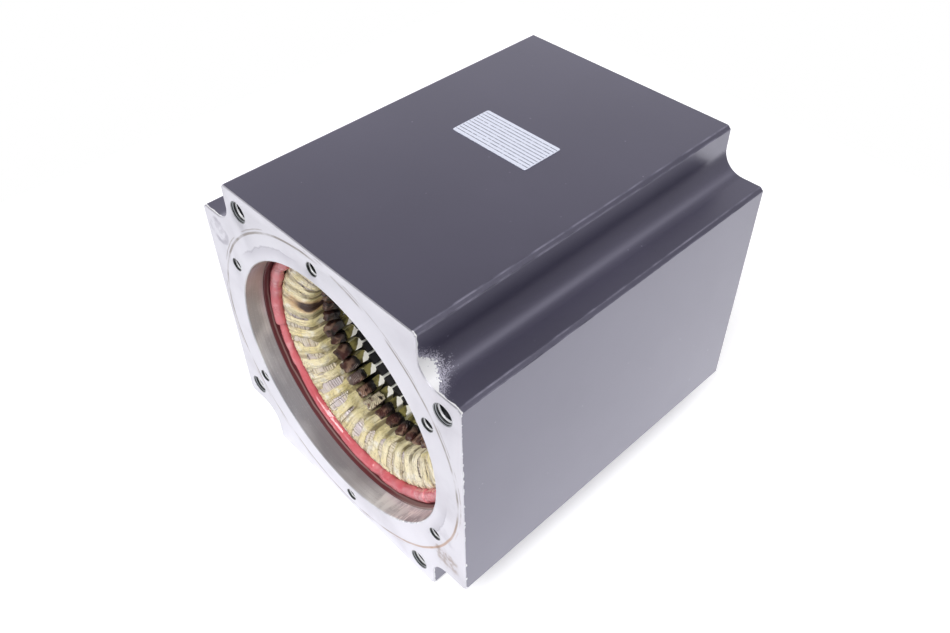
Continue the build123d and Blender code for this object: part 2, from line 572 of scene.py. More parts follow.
@dataclass(frozen=True)
class BodyPaint:
    """Satin anthracite paint, chipped to bare metal along the front edges, with painted highlights on the
    chamfers.
    """

    colour: Colour = srgb(50, 47, 61)
    dusty: Colour = srgb(57, 54, 68)
    sheen: Colour = (0.905, 0.895, 1.0, 1.0)
    metal: Colour = WHITE
    scuffed_metal: Colour = srgb(192, 190, 194)
    worn_edge: Colour = srgb(150, 148, 158)
    half_width: float = HALF_WIDTH / MM
    notch_wall: float = 73.4
    chamfer: float = 1.9
    side_fade: Span = (97.0, 99.5)
    notch_fade: Span = (70.5, 72.0)
    corner_fade: Span = (70.0, 72.0)
    rub_fade: Span = (190.0, 10.0)
    chip_reach: float = 8.0
    chip_spread: float = 13.0
    chip_scatter: float = 14.0

    def chips(self, bench: Bench, across: Value, depth: Value, up: Value) -> tuple[Value, Value]:
        """Where the paint is gone.

        Args:
            bench: The material's nodes.
            across: Millimetres across.
            depth: Millimetres behind the front face.
            up: Millimetres above the axis.

        Returns:
            Shares of bare metal and of scuffed metal round it.
        """
        coarse = bench.noise(260.0, 3.0)
        fine = bench.noise(900.0, 3.0)
        right_side = across.step(*self.side_fade)
        notch = abs(across).least(abs(up)).step(*self.notch_fade)
        nibble = 0.12 + (0.6 + 5.0 * right_side) * (coarse - 0.45).most(0.0) * fine * 2.0
        nibble = nibble + notch * (0.3 + 1.2 * coarse)
        edge = (depth - nibble).step(0.12, -0.12)
        slide = (across - up) / self.chip_spread
        ragged = 1.2 * bench.noise(150.0, 2.0) + 1.9 * bench.noise(800.0, 6.0) - 0.55
        limit = self.chip_reach * (1.0 - slide * slide) * ragged
        corner = across.step(*self.corner_fade) * up.step(*self.corner_fade)
        big = (depth - limit).step(0.25, -0.25) * corner
        near = (depth - limit).step(self.chip_scatter, 0.0) * corner
        speckle = bench.noise(1500.0, 3.0)
        return edge.most(big), near * (speckle + 0.26 * near - 0.075).step(0.60, 0.66)

    def material(self) -> bpy.types.Material:
        """Make the finish.

        Returns:
            The material.
        """
        bench = Bench("body_paint", self.colour)
        across, depth, up = bench.place()
        bare, scuffed = self.chips(bench, across, depth, up)
        wide = abs(across).most(abs(up))
        narrow = abs(across).least(abs(up))
        run_out = self.notch_wall - self.chamfer
        outer = (wide - self.half_width) ** 2.0 + (narrow - run_out) ** 2.0
        inner = (wide - self.half_width + self.chamfer) ** 2.0 + (narrow - self.notch_wall) ** 2.0
        arris = outer.least(inner)
        # Painted highlight: the chamfer flanks, lighter towards the front, and a thin pale line along the
        # chamfer edges (that line partly real edge wear) are laid in the pale worn-edge grey.
        worn = arris.step(0.5, 0.02) * bench.noise(90.0, 3.0).step(0.35, 0.7)
        speck = bench.cells(160.0).step(0.10, 0.05) * bench.noise(60.0).step(0.55, 0.65)
        to_side, _, to_top = bench.facing()
        flank = abs(to_side).least(abs(to_top)).step(0.55, 0.68) * arris.step(4.0, 2.2)
        painted_highlight = flank * depth.step(*self.rub_fade) * (0.5 + bench.noise(700.0, 4.0))
        bench.lay(bench.noise(14.0, 3.0).step(0.3, 0.75), self.dusty)
        bench.lay(0.28 * painted_highlight + 0.55 * worn + 0.6 * speck, self.worn_edge)
        bench.lay(scuffed, self.scuffed_metal)
        bench.lay(bare, self.metal)
        grain = bench.noise(2600.0, 2.0)
        peel = bench.noise(420.0, 2.0)
        bench.bump(0.35 * grain + 0.6 * peel - 0.9 * bare, 0.06 * MM)
        return bench.paint({
            "Roughness": 0.34 + 0.10 * bench.noise(30.0, 3.0),
            "Metallic": 0.1 * bare.most(scuffed),
            "IOR": 1.8,
            "Specular IOR Level": 1.0,
            "Specular Tint": self.sheen,
            "Coat Weight": 1.0 - bare,
            "Coat Roughness": 0.28,
            "Coat Tint": self.sheen,
        })


@dataclass(frozen=True)
class MachinedFace:
    """Faced aluminium of the ends, with the old sealant's ring and grease marks."""

    metal: Colour = srgb(222, 221, 228)
    smudge: Colour = srgb(190, 187, 195)
    sealant: Colour = srgb(142, 128, 116)
    ochre: Colour = srgb(190, 136, 84)
    grime: Colour = srgb(150, 122, 100)
    shade: Colour = srgb(150, 146, 160)
    ring_radius: float = 96.0
    ring_width: float = 0.8
    second_ring: float = 2.0
    ochre_angle: float = -0.75
    stain_radius: float = 95.0
    shore_radius: float = 87.9
    wash_rise: Span = (81.5, 88.0)
    wash_angles: Span = (-0.35, 2.1)
    washer_spot: Span = (-88.3, 61.3)
    washer_radius: float = 7.0
    grime_spot: Span = (85.0, -59.0)
    tool_rate: float = 9.0

    def washer(self, bench: Bench) -> Value:
        """The broken ring that a washer left.

        Args:
            bench: The material's nodes.

        Returns:
            The share of the mark.
        """
        reach = bench.away(self.washer_spot)
        ragged = 3.0 * (bench.noise(210.0, 3.0) - 0.5)
        ring = abs(reach - self.washer_radius + ragged).step(2.6, 0.4)
        ring = ring * bench.noise(130.0, 3.0).step(0.35, 0.55)
        smear = (reach + 2.0 * ragged).step(self.washer_radius + 2.0, self.washer_radius - 2.0)
        return ring.most(0.5 * smear * bench.noise(300.0, 4.0).step(0.45, 0.6))

    def rings(self, bench: Bench, radius: Value, ochre: Value) -> Value:
        """The old sealant's ring and the thin broken line outside it.

        Args:
            bench: The material's nodes.
            radius: Millimetres from the axis.
            ochre: Share of the stretch that is left whole.

        Returns:
            The share of sealant.
        """
        wander = (bench.noise(40.0, 3.0) - 0.5) * 1.4
        off = abs(radius - self.ring_radius + wander) / self.ring_width
        broken = bench.noise(55.0, 3.0).step(0.32, 0.6)
        second = abs(radius - self.ring_radius - self.second_ring + 1.5 * wander).step(0.5, 0.15)
        second = second * bench.noise(70.0, 3.0).step(0.45, 0.6)
        return (off.step(1.2, 0.4) * broken.most(0.8 * ochre)).most(0.6 * second * (1.0 - ochre))

    def material(self) -> bpy.types.Material:
        """Make the finish.

        Returns:
            The material.
        """
        bench = Bench("machined_face", self.metal)
        radius, angle, _ = bench.polar()
        front = bench.front()
        ochre = angle.window(self.ochre_angle, (-0.6, -0.1), (0.75, 0.3))
        ring = self.rings(bench, radius, ochre)
        stain = bench.noise(38.0, 5.0).step(0.58, 0.72) * abs(radius - self.stain_radius).step(9.0, 2.0)
        washer = front * self.washer(bench)
        blot = bench.away(self.grime_spot) + 16.0 * (bench.noise(120.0, 4.0) - 0.5)
        patchy = blot.step(11.0, 6.0) * front
        grime = patchy * bench.noise(260.0, 5.0).step(0.42, 0.60)
        corners = angle.window(self.wash_angles[0], (-0.3, -0.1), (0.3, 0.1))
        corners = corners + angle.window(self.wash_angles[1], (-0.45, -0.25), (0.4, 0.2))
        shore = radius + 9.0 * (bench.noise(60.0, 5.0) - 0.5)
        wash = shore.step(self.shore_radius + 0.3, self.shore_radius - 0.4) * corners
        jagged = abs(shore - self.shore_radius).step(0.7, 0.2) * corners
        bench.lay(0.55 * bench.noise(26.0, 4.0).step(0.45, 0.8), self.smudge)
        bench.lay(0.5 * stain, self.smudge)
        shaded = 0.3 * wash * radius.step(*self.wash_rise) + 0.25 * jagged + 0.55 * washer
        bench.lay(shaded, self.shade)
        bench.lay(0.7 * ring, bench.mix(ochre, self.sealant, self.ochre))
        bench.lay(0.42 * grime + 0.1 * patchy, self.grime)
        facing = (radius * self.tool_rate + 0.6 * bench.noise(90.0)).sine()
        bench.bump(0.12 * facing + bench.noise(700.0, 3.0) + 1.2 * ring, 0.04 * MM)
        dirt = ring.most(stain).most(grime)
        return bench.paint({
            "Roughness": 0.36 + 0.14 * bench.noise(60.0, 3.0) + 0.2 * dirt,
            "Metallic": 0.92 - 0.6 * ring.most(grime),
        })


@dataclass(frozen=True)
class BoreSkin:
    """The turned register, darker towards the bottom and with painted highlights at its lower right, then
    red varnish deepened by painted shade and a painted red reflection, and bare casting down the frame
    bore.
    """

    turned: Colour = srgb(232, 234, 238)
    tarnish: Colour = srgb(176, 177, 184)
    browned: Colour = srgb(182, 170, 160)
    creamed: Colour = srgb(212, 196, 180)
    dulled: Colour = srgb(138, 131, 134)
    glint: Colour = WHITE
    varnish: Colour = srgb(104, 52, 56)
    cast: Colour = srgb(168, 148, 142)
    upper_angle: float = 2.3
    lower_angle: float = -1.8
    rubbed_angle: float = -1.15
    smeared_angle: float = -0.95
    cream_rise: Span = (3.0, 11.0)
    register_end: float = REGISTER_DEPTH / MM
    varnish_end: float = 18.0
    gap_rise: Span = (13.7, 14.1)
    gap_fall: Span = (15.0, 14.7)
    scraped_fall: Span = (15.6, 14.8)

    def material(self) -> bpy.types.Material:
        """Make the finish.

        Returns:
            The material.
        """
        bench = Bench("bore_skin", self.turned)
        angle = bench.polar()[1]
        depth = bench.near_end()
        across, _, up = bench.place()
        streak = bench.noise(1.0, 3.0, bench.vector(across * 0.02, depth * 3.2, up * 0.02))
        patch = bench.noise(45.0, 4.0)
        bands = bench.noise(1.0, 2.0, bench.vector(across * 0.03, depth * 0.06, up * 0.03))
        fleck = bench.noise(900.0, 2.0).step(0.60, 0.72)
        dull = 0.35 * streak.step(0.35, 0.75) + 0.85 * bands.step(0.36, 0.64) - 0.3 * fleck
        bench.lay(dull.least(1.0).most(0.0), self.tarnish)
        upper = angle.window(self.upper_angle, (-0.9, -0.2), (0.9, 0.2))
        bench.lay(0.6 * upper * patch.step(0.3, 0.6), self.browned)
        bench.lay(0.5 * upper * depth.step(*self.cream_rise), self.creamed)
        # Darker towards the bottom of the register.
        below = angle.window(self.lower_angle, (-0.6, -0.2), (0.45, 0.2))
        bench.lay(0.55 * below, self.dulled)
        # Painted highlights at the register's lower right: lighter streaks of turned metal and white glint
        # streaks.
        low_right = angle.step(0.0, -0.5)
        highlight_streaks = bench.noise(1.0, 3.0, bench.vector(across * 0.16, depth * 0.05, 3.0))
        painted_highlight = (angle - self.rubbed_angle).step(-0.45, -0.1) * highlight_streaks * low_right
        bench.lay(painted_highlight.step(0.42, 0.62), self.turned)
        glint_noise = bench.noise(1.0, 4.0, bench.vector(across * 0.45, depth * 0.16, up * 0.45))
        past_glint = angle - self.smeared_angle
        glint_streaks = past_glint.step(-0.25, -0.05) * low_right * glint_noise.step(0.54, 0.60)
        bench.lay(0.9 * glint_streaks, self.glint)
        inside = depth.step(self.register_end - 0.25, self.register_end - 0.05)
        past = (depth + (patch - 0.5) * 1.6).step(self.varnish_end - 0.3, self.varnish_end + 0.3)
        drift = bench.noise(1.0, 2.0, bench.vector(across * 0.06, 7.0, up * 0.06))
        gap = (depth + (drift - 0.5) * 1.6).window(0.0, self.gap_rise, self.gap_fall) * (1.0 - upper)
        scraped = past_glint.step(-0.4, 0.0) * low_right * depth.step(*self.scraped_fall)
        # Painted shade: the red varnish band past the register is laid dark maroon, its darkness partly
        # painted shade and a painted red reflection of the sleeve.
        shaded_varnish = inside * (1.0 - past) * (1.0 - 0.85 * gap) * (1.0 - 0.8 * scraped)
        bench.lay(inside, self.cast)
        bench.lay(shaded_varnish, self.varnish)
        bench.bump(0.5 * streak + 0.5 * bench.noise(1400.0), 0.05 * MM)
        return bench.paint({
            "Roughness": 0.24 + 0.14 * patch + 0.2 * inside,
            "Metallic": 0.4 - 0.3 * shaded_varnish,
        })


@dataclass(frozen=True)
class ThreadSkin:
    """Cut threads of the tapped holes, painted black inside as shade, with a painted lit band of bright
    thread a little way in and grey rings on the sink.
    """

    metal: Colour = srgb(244, 245, 247)
    oil: Colour = srgb(12, 14, 15)
    sink: Colour = srgb(164, 168, 172)
    sink_depths: Span = (0.7, 1.2)
    flange_rise: Span = (97.0, 98.0)

    def material(self) -> bpy.types.Material:
        """Make the finish.

        Returns:
            The material.
        """
        bench = Bench("thread_skin", self.oil)
        wide = bench.polar()[0].step(*self.flange_rise)
        small, large = self.sink_depths
        share = bench.near_end() / (small + (large - small) * wide)
        # Painted highlight: a band of bright thread a little way into the hole; the black base elsewhere is
        # painted shade.
        bench.lay(share.window(0.0, (1.8, 2.0), (2.8, 2.5)), self.metal)
        rim = abs(share - 0.12).step(0.12, 0.06).most(wide * abs(share - 0.72).step(0.2, 0.12))
        bench.lay(0.8 * rim, self.sink)
        bench.bump(bench.noise(1800.0), 0.03 * MM)
        return bench.paint({"Roughness": 0.25 + 0.2 * bench.noise(200.0), "Metallic": 0.3})


@dataclass(frozen=True)
class CoreSteel:
    """Blackened laminations, seen as fine lines across the tooth tips."""

    steel: Colour = srgb(34, 33, 36)
    edge: Colour = srgb(70, 66, 64)
    lamination: float = 0.5

    def material(self) -> bpy.types.Material:
        """Make the finish.

        Returns:
            The material.
        """
        bench = Bench("core_steel", self.steel)
        sheets = (bench.place()[1] * (TURN / self.lamination)).sine()
        patch = bench.noise(70.0, 4.0)
        bench.lay(0.35 * sheets.step(0.2, 0.9) + 0.4 * patch.step(0.5, 0.75), self.edge)
        bench.bump(0.5 * sheets + 0.4 * bench.noise(900.0), 0.06 * MM)
        return bench.paint({"Roughness": 0.42 + 0.2 * patch, "Metallic": 0.55})


@dataclass(frozen=True)
class LinerPaper:
    """Cream insulating paper, yellowed by varnish."""

    paper: Colour = srgb(226, 220, 178)
    varnished: Colour = srgb(188, 174, 108)

    def material(self) -> bpy.types.Material:
        """Make the finish.

        Returns:
            The material.
        """
        bench = Bench("liner_paper", self.paper)
        soak = bench.noise(110.0, 4.0).step(0.4, 0.72)
        bench.lay(soak * 0.7, self.varnished)
        bench.paper_grain()
        return bench.paint({"Roughness": 0.5 - 0.15 * soak, "Coat Weight": 0.25 * soak})


@dataclass(frozen=True)
class StripPaper:
    """White closing strips, with a painted olive shadow of the knees beyond a slant; its darker soaked
    patches are partly varnish and partly painted shade.
    """

    white: Colour = srgb(252, 250, 240)
    olive: Colour = srgb(138, 130, 76)
    soaked: Colour = srgb(70, 65, 34)
    reach: float = 6.2

    def material(self) -> bpy.types.Material:
        """Make the finish.

        Returns:
            The material.
        """
        bench = Bench("slot_strip", self.olive)
        angle = bench.polar()[1]
        out = ((HALF_LENGTH - CORE_REACH) / MM - bench.near_end()) / self.reach
        cell = (angle * (SLOT_COUNT / TURN) + 0.5).saw()
        # Painted shadow: olive where the knees would shade the strip, white where it is lit, split along a
        # slant.
        slant = 1.25 * cell - out - 0.2 + 0.5 * (bench.noise(240.0, 3.0) - 0.5)
        bench.lay(bench.noise(180.0, 4.0).step(0.4, 0.65), self.soaked)
        bench.lay(slant.step(-0.06, 0.06), self.white)
        bench.paper_grain()
        return bench.paint({"Roughness": 0.5})


@dataclass(frozen=True)
class CoilVarnish:
    """Dark baked varnish over the coil legs, with the wires' ridges through it; on the knees, faces towards
    the end and the top are painted in a lit reddish brown with painted highlights on raised facets, fading
    to painted shade towards the core.
    """

    brown: Colour = srgb(13, 7, 8)
    mauve: Colour = srgb(92, 51, 46)
    crest: Colour = srgb(196, 158, 134)
    bare: Colour = srgb(206, 192, 184)
    frayed: Colour = srgb(232, 218, 186)
    frayed_angle: float = -1.92
    frayed_fall: Span = (0.075, 0.055)
    knee_fall: Span = (41.0, 35.0)
    wire_pitch: float = 1.1

    def material(self) -> bpy.types.Material:
        """Make the finish.

        Returns:
            The material.
        """
        bench = Bench("coil_varnish", self.brown)
        radius, angle, depth = bench.polar()
        lay_angle = (radius * angle + 0.25 * depth) * (TURN / self.wire_pitch)
        wires = (lay_angle + 3.0 * bench.noise(160.0)).sine()
        patch = bench.noise(95.0, 4.0)
        worn = bench.noise(48.0, 2.0).step(0.62, 0.68) * wires.step(-0.6, 0.3)
        # Painted light on the knees: faces towards the end and the top get a lit reddish brown and raised
        # facets get painted highlights; both fade to painted shade towards the core.
        _, to_end, to_top = bench.facing()
        lit = 0.7 * abs(to_end) + 0.45 * to_top + 2.4 * (bench.noise(190.0, 5.0) - 0.5)
        knees = bench.near_end().step(*self.knee_fall)
        bench.lay((lit + 0.25).step(0.2, 0.8) * knees, self.mauve)
        facets = bench.cells(300.0)
        crest_highlights = facets.step(0.40, 0.66) * bench.noise(130.0, 3.0).step(0.42, 0.58) * knees
        bench.lay(0.7 * crest_highlights, self.crest)
        bench.lay(0.8 * worn, self.bare)
        frayed = abs(angle - self.frayed_angle).step(*self.frayed_fall) * bench.front()
        bench.lay(frayed * bench.noise(240.0, 4.0).step(0.40, 0.52), self.frayed)
        bench.bump(0.4 * wires + 2.4 * bench.noise(260.0, 5.0) + 1.4 * facets, 0.9 * MM)
        return bench.paint({"Roughness": 0.22 + 0.2 * patch, "Coat Weight": 0.9})


@dataclass(frozen=True)
class WireEnamel:
    """Enamelled wire under clear varnish, lilac grey to tan."""

    name: str = "wire_enamel"
    lilac: Colour = srgb(214, 203, 204)
    tan: Colour = srgb(172, 156, 152)
    soot: Colour = srgb(128, 108, 100)
    film: Colour = srgb(236, 226, 196)
    film_rise: Span = (30.0, -40.0)

    def material(self) -> bpy.types.Material:
        """Make the finish.

        Returns:
            The material.
        """
        bench = Bench(self.name, self.lilac)
        patch = bench.noise(60.0, 4.0)
        below = bench.place()[2].step(*self.film_rise)
        bench.lay(patch.step(0.45, 0.7), self.tan)
        bench.lay(0.7 * bench.noise(140.0, 4.0).step(0.58, 0.74), self.soot)
        bench.lay((0.3 + 0.5 * below) * bench.noise(85.0, 4.0).step(0.35, 0.6), self.film)
        bench.bump(bench.noise(1500.0, 2.0), 0.04 * MM)
        return bench.paint({"Roughness": 0.28 + 0.2 * patch, "Coat Weight": 0.4})


@dataclass(frozen=True)
class LacingTape:
    """Cream-yellow lacing cord, soaked with varnish, with painted shade in its folds, between bands, next
    to the knees and along the sleeve.
    """

    cream: Colour = srgb(247, 236, 200)
    amber: Colour = srgb(238, 223, 168)
    pool: Colour = srgb(200, 188, 118)
    soiled: Colour = srgb(158, 138, 102)
    pale: Colour = srgb(252, 248, 234)
    ash: Colour = srgb(236, 228, 206)
    pit: Colour = srgb(92, 78, 48)
    valley: Colour = srgb(150, 128, 100)
    burnt: Colour = srgb(46, 18, 12)
    scorched: Colour = srgb(196, 142, 92)
    folds: float = 38.0
    inner_pool: Span = (56.0, 53.0)
    outer_pool: Span = (69.5, 72.0)
    bleached_angle: float = -0.85
    knee_side: Span = (60.0, 55.0)
    speck_rise: Span = (65.0, 71.0)
    rim_rise: Span = (66.5, 69.5)
    burnt_angle: float = 2.88
    scorch_fall: Span = (69.0, 62.0)
    burnt_fall: Span = (63.0, 57.0)

    def material(self) -> bpy.types.Material:
        """Make the finish.

        Returns:
            The material.
        """
        bench = Bench("lacing_tape", self.cream)
        patch = bench.noise(48.0, 4.0)
        bench.lay(patch.step(0.38, 0.68), self.amber)
        bench.lay(0.85 * bench.noise(140.0, 4.0).step(0.50, 0.66), self.pale)
        radius, angle, depth = bench.polar()
        across, _, up = bench.place()
        rate = self.folds / radius
        folds = bench.noise(1.0, 3.0, bench.vector(across * rate, depth * 0.06, up * rate))
        # Painted shade: the hollows of the folds and the valleys between bands are laid darker; the same
        # colour also marks real soil, dots and cracks.
        bench.lay(0.45 * folds.step(0.47, 0.33), self.soiled)
        rounded = (angle * SLOT_COUNT + math.pi / 2 + 2.2 * (bench.noise(70.0) - 0.5)).sine()
        between = rounded.step(-0.45, -0.9) * bench.noise(110.0, 3.0).step(0.35, 0.6)
        bench.lay(0.6 * between, self.valley)
        pooled = radius.step(*self.inner_pool) + 0.5 * radius.step(*self.outer_pool)
        bench.lay(0.5 * pooled * bench.noise(120.0, 4.0).step(0.25, 0.6), self.pool)
        # Paler towards the lower right of the head.
        paler = angle.window(self.bleached_angle, (-0.55, -0.2), (0.6, 0.2))
        bench.lay(0.55 * paler * bench.noise(170.0, 4.0).step(0.35, 0.6), self.ash)
        crack = abs(bench.noise(330.0, 4.0) - 0.5).step(0.05, 0.01)
        crack = crack * bench.noise(90.0, 3.0).step(0.45, 0.65)
        bench.lay(0.42 * bench.noise(230.0, 5.0).step(0.60, 0.72).most(crack), self.soiled)
        # Painted shade: the valleys next to the knees are laid dark brown, partly soot, and the dark dots
        # gather into a painted shadow line along the sleeve's edge.
        browned = rounded.step(-0.2, -0.8) * radius.step(*self.knee_side)
        bench.lay(0.75 * browned * bench.noise(150.0, 3.0).step(0.35, 0.55), self.pit)
        specks_and_rim_shade = (bench.noise(520.0, 4.0) + 0.07 * radius.step(*self.rim_rise)).step(0.56, 0.64)
        bench.lay(0.8 * specks_and_rim_shade * radius.step(*self.speck_rise).most(0.3), self.pit)
        off = abs(angle - self.burnt_angle + 0.12 * (bench.noise(120.0, 3.0) - 0.5))
        off = off + 4.0 * (1.0 - bench.front())
        bench.lay(0.6 * radius.step(*self.scorch_fall) * off.step(0.13, 0.05), self.scorched)
        bench.lay(0.97 * radius.step(*self.burnt_fall) * off.step(0.075, 0.040), self.burnt)
        fibre = bench.noise(2400.0, 3.0)
        lumps = bench.noise(420.0, 4.0)
        bench.bump(0.4 * fibre + 1.2 * lumps + 3.2 * folds + 1.8 * rounded, 0.4 * MM)
        return bench.paint({"Roughness": 0.42 + 0.15 * fibre, "Coat Weight": 0.3 * patch})


@dataclass(frozen=True)
class RedSleeving:
    """Glossy red silicone sleeving, with pale patches that are partly a whitish surface film and partly
    painted highlight.
    """

    red: Colour = srgb(220, 112, 120)
    deep: Colour = srgb(204, 88, 98)
    bloom: Colour = srgb(240, 168, 172)

    def material(self) -> bpy.types.Material:
        """Make the finish.

        Returns:
            The material.
        """
        bench = Bench("red_sleeving", self.red)
        patch = bench.noise(50.0, 4.0)
        bench.lay(patch.step(0.35, 0.7), self.deep)
        # Pale patches: partly a whitish surface film, partly painted highlight.
        bench.lay(0.6 * bench.noise(120.0, 4.0).step(0.55, 0.75), self.bloom)
        bench.bump(bench.noise(170.0, 0.0), 0.2 * MM)
        return bench.paint({"Roughness": 0.20 + 0.15 * patch, "Coat Weight": 0.8})


@dataclass(frozen=True)
class LabelFoil:
    """Silvery label film with plain ruled lines."""

    film: Colour = srgb(236, 240, 255)
    rule: Colour = srgb(84, 86, 102)
    centre: Span = (-1.7, 128.3)
    half_size: Span = (26.7, 13.3)
    rows: int = 11

    def material(self) -> bpy.types.Material:
        """Make the finish.

        Returns:
            The material.
        """
        bench = Bench("label_foil", self.film)
        across, depth, _ = bench.place()
        u = (across - self.centre[0]) / self.half_size[0]
        v = (depth - self.centre[1]) / self.half_size[1]
        row = (v + 1.0) * (self.rows / 2.0)
        line = abs(row.saw() - 0.5).step(0.37, 0.44) * abs(v).step(0.93, 0.90)
        worn = bench.noise(900.0, 3.0).step(0.30, 0.5)
        bench.lay(line * worn * abs(u).step(0.985, 0.975), self.rule)
        bench.bump(bench.noise(260.0, 2.0), 0.08 * MM)
        return bench.paint({"Roughness": 0.34 + 0.1 * bench.noise(80.0), "Metallic": 0.12})


class HousingSkin(IntEnum):
    """The housing's finishes, by their index on its mesh."""

    PAINT = 0
    FACE = 1
    BORE = 2
    THREAD = 3


@dataclass(frozen=True)
class TappedHole:
    """One tapped hole in an end face: its centre there, core radius, sink width, depth and thread pitch."""

    spot: np.ndarray
    radius: float
    sink: float
    depth: float
    pitch: float


@dataclass
class Housing:
    """The notched square housing with its registers, bore and tapped holes."""

    notch: float = 26.6 * MM
    notch_fillet: float = 13.0 * MM
    fillet_steps: int = 13
    chamfer: float = 1.9 * MM
    chamfer_turn: float = 45.0
    corner_round: float = 0.6 * MM
    round_steps: int = 4
    support: float = 0.5 * MM
    edge_break: float = 0.45 * MM
    side_rows: int = 6
    step: float = 1.0 * MM
    mouth_break: float = 0.5 * MM
    ledge_break: float = 0.15 * MM
    ledge_row: float = 8.0 * MM
    bore_segments: int = 192
    hole_segments: int = 36
    cover_count: int = 6
    cover_angle: float = math.radians(30.0)
    cover_pitch: float = 1.25 * MM
    cover_sink: float = 0.7 * MM
    cover_depth: float = 18.0 * MM
    flange_count: int = 4
    flange_margin: Span = (11.7 * MM, 12.09 * MM)
    flange_pitch: float = 1.75 * MM
    flange_sink: float = 1.2 * MM
    flange_depth: float = 24.0 * MM

    def outline(self) -> tuple[np.ndarray, np.ndarray]:
        """Walk round the notched section.

        Returns:
            Points and outward normals, as (points, 2).
        """
        inner = HALF_WIDTH - self.notch
        near = inner - self.chamfer
        far = HALF_WIDTH - self.chamfer
        middle = np.full(2, inner + self.notch_fillet)
        quarter = self.corner((HALF_WIDTH, near), 0.0) + self.corner((far, inner), self.chamfer_turn)
        for turn in np.linspace(270.0, 180.0, self.fillet_steps):
            quarter.append((middle + self.notch_fillet * heading(turn), turn - 180.0))
        quarter += self.corner((inner, far), 0.0) + self.corner((near, HALF_WIDTH), self.chamfer_turn)
        points, normals = [], []
        for side in range(4):
            ahead = heading(90.0 * side)
            spin = np.array(((ahead[0], -ahead[1]), (ahead[1], ahead[0])))
            for spot, facing in quarter:
                points.append(spin @ spot)
                normals.append(spin @ heading(facing))
        return np.array(points), np.array(normals)

    def corner(self, spot: Span, start: float) -> list[tuple[np.ndarray, float]]:
        """Round one corner of the outline where it turns by the chamfer's angle.

        Args:
            spot: The sharp corner.
            start: Facing of the side before it, in degrees.

        Returns:
            Points with their facings, with one more point on each side to hold the flats flat.
        """
        stop = start + self.chamfer_turn
        bend = self.corner_round * math.tan(math.radians(self.chamfer_turn / 2))
        facings = np.radians(np.linspace(start, stop, self.round_steps))
        normals = np.stack((np.cos(facings), np.sin(facings)), axis=1)
        along = np.stack((-np.sin(facings), np.cos(facings)), axis=1)
        centre = np.array(spot) - along[0] * bend - normals[0] * self.corner_round
        rounds = [(centre + self.corner_round * n, math.degrees(f)) for n, f in zip(normals, facings)]
        before = (rounds[0][0] - along[0] * self.support, start)
        after = (rounds[-1][0] + along[-1] * self.support, stop)
        return [before, *rounds, after]

    def sides(self, shell: Shell) -> np.ndarray:
        """Add the long sides with their broken ends.

        Args:
            shell: The housing's faces.

        Returns:
            The outline of an end face, as (points, 2).
        """
        points, normals = self.outline()
        rim = points - self.edge_break * normals
        straight = HALF_LENGTH - self.edge_break
        for end in End:
            rows = [self.lift(rim, HALF_LENGTH, end), self.lift(points, straight, end)]
            shell.grid(np.array(rows), loop_v=True, skin=HousingSkin.FACE)
        levels = np.linspace(-1.0, 1.0, self.side_rows) * straight
        rows = [self.lift(points, level, End.FRONT) for level in levels]
        shell.grid(np.array(rows), loop_v=True, skin=HousingSkin.PAINT)
        return rim

    @staticmethod
    def lift(ring: np.ndarray, level: float, end: End) -> np.ndarray:
        """Stand a flat outline up at a level, as points in the frame."""
        along = np.full(len(ring), end.value * level)
        return np.stack((ring[:, 0], along, AXIS_HEIGHT + ring[:, 1]), axis=1)

    def holes(self, end: End) -> list[TappedHole]:
        """List the tapped holes of an end.

        Args:
            end: The end.

        Returns:
            The cover's holes and then the flange's.
        """
        hand = np.array((-end.value, 1.0))
        far = HALF_WIDTH - self.flange_margin[0]
        near = HALF_WIDTH - self.notch - self.flange_margin[1]
        cover, flange = f"{end.word}_cover_holes", f"{end.word}_flange_holes"
        cover_circle = mount_size(cover, "pcd_mm") / 2
        cover_cut = (self.cover_sink, self.cover_depth, self.cover_pitch)
        flange_cut = (self.flange_sink, self.flange_depth, self.flange_pitch)
        patterns = (
            (cover, self.cover_count, self.cover_angle, cover_circle, cover_cut),
            (flange, self.flange_count, math.atan2(near, far), math.hypot(far, near), flange_cut),
        )
        found = []
        for mount, count, first, reach, cut in patterns:
            radius = mount_size(mount, "hole_r_mm")
            for turn in first + turns_of(count):
                spot = hand * reach * np.array((math.cos(turn), math.sin(turn)))
                found.append(TappedHole(spot, radius, *cut))
        return found

    def face(self, shell: Shell, end: End, rim: np.ndarray) -> None:
        """Add an end face with its holes cut out, and the holes.

        Args:
            shell: The housing's faces.
            end: The end.
            rim: The face's outline, as (points, 2).
        """
        unit = circle(self.hole_segments)
        loops = [rim, (REGISTER_RADIUS + self.mouth_break) * circle(self.bore_segments)]
        for hole in self.holes(end):
            loops.append(hole.spot + (hole.radius + hole.sink) * unit)
            self.tapped(shell, end, hole, unit)
        edges, owners = [], []
        for place, loop in enumerate(loops):
            start = len(owners)
            edges += [(start + k, start + (k + 1) % len(loop)) for k in range(len(loop))]
            owners += [place] * len(loop)
        flat = [Vector(p) for p in np.concatenate(loops)]
        spots, _, faces, origins, *_ = delaunay_2d_cdt(flat, edges, [], 1, CUT_GAP)
        owner = [owners[origin[0]] for origin in origins]
        in_hole = [len({owner[k] for k in tri}) == 1 and owner[tri[0]] > 0 for tri in faces]
        kept = [tri for tri, inside in zip(faces, in_hole) if not inside]
        raised = self.lift(np.array([tuple(p) for p in spots]), HALF_LENGTH, end)
        shell.sheet(raised, kept, skin=HousingSkin.FACE)

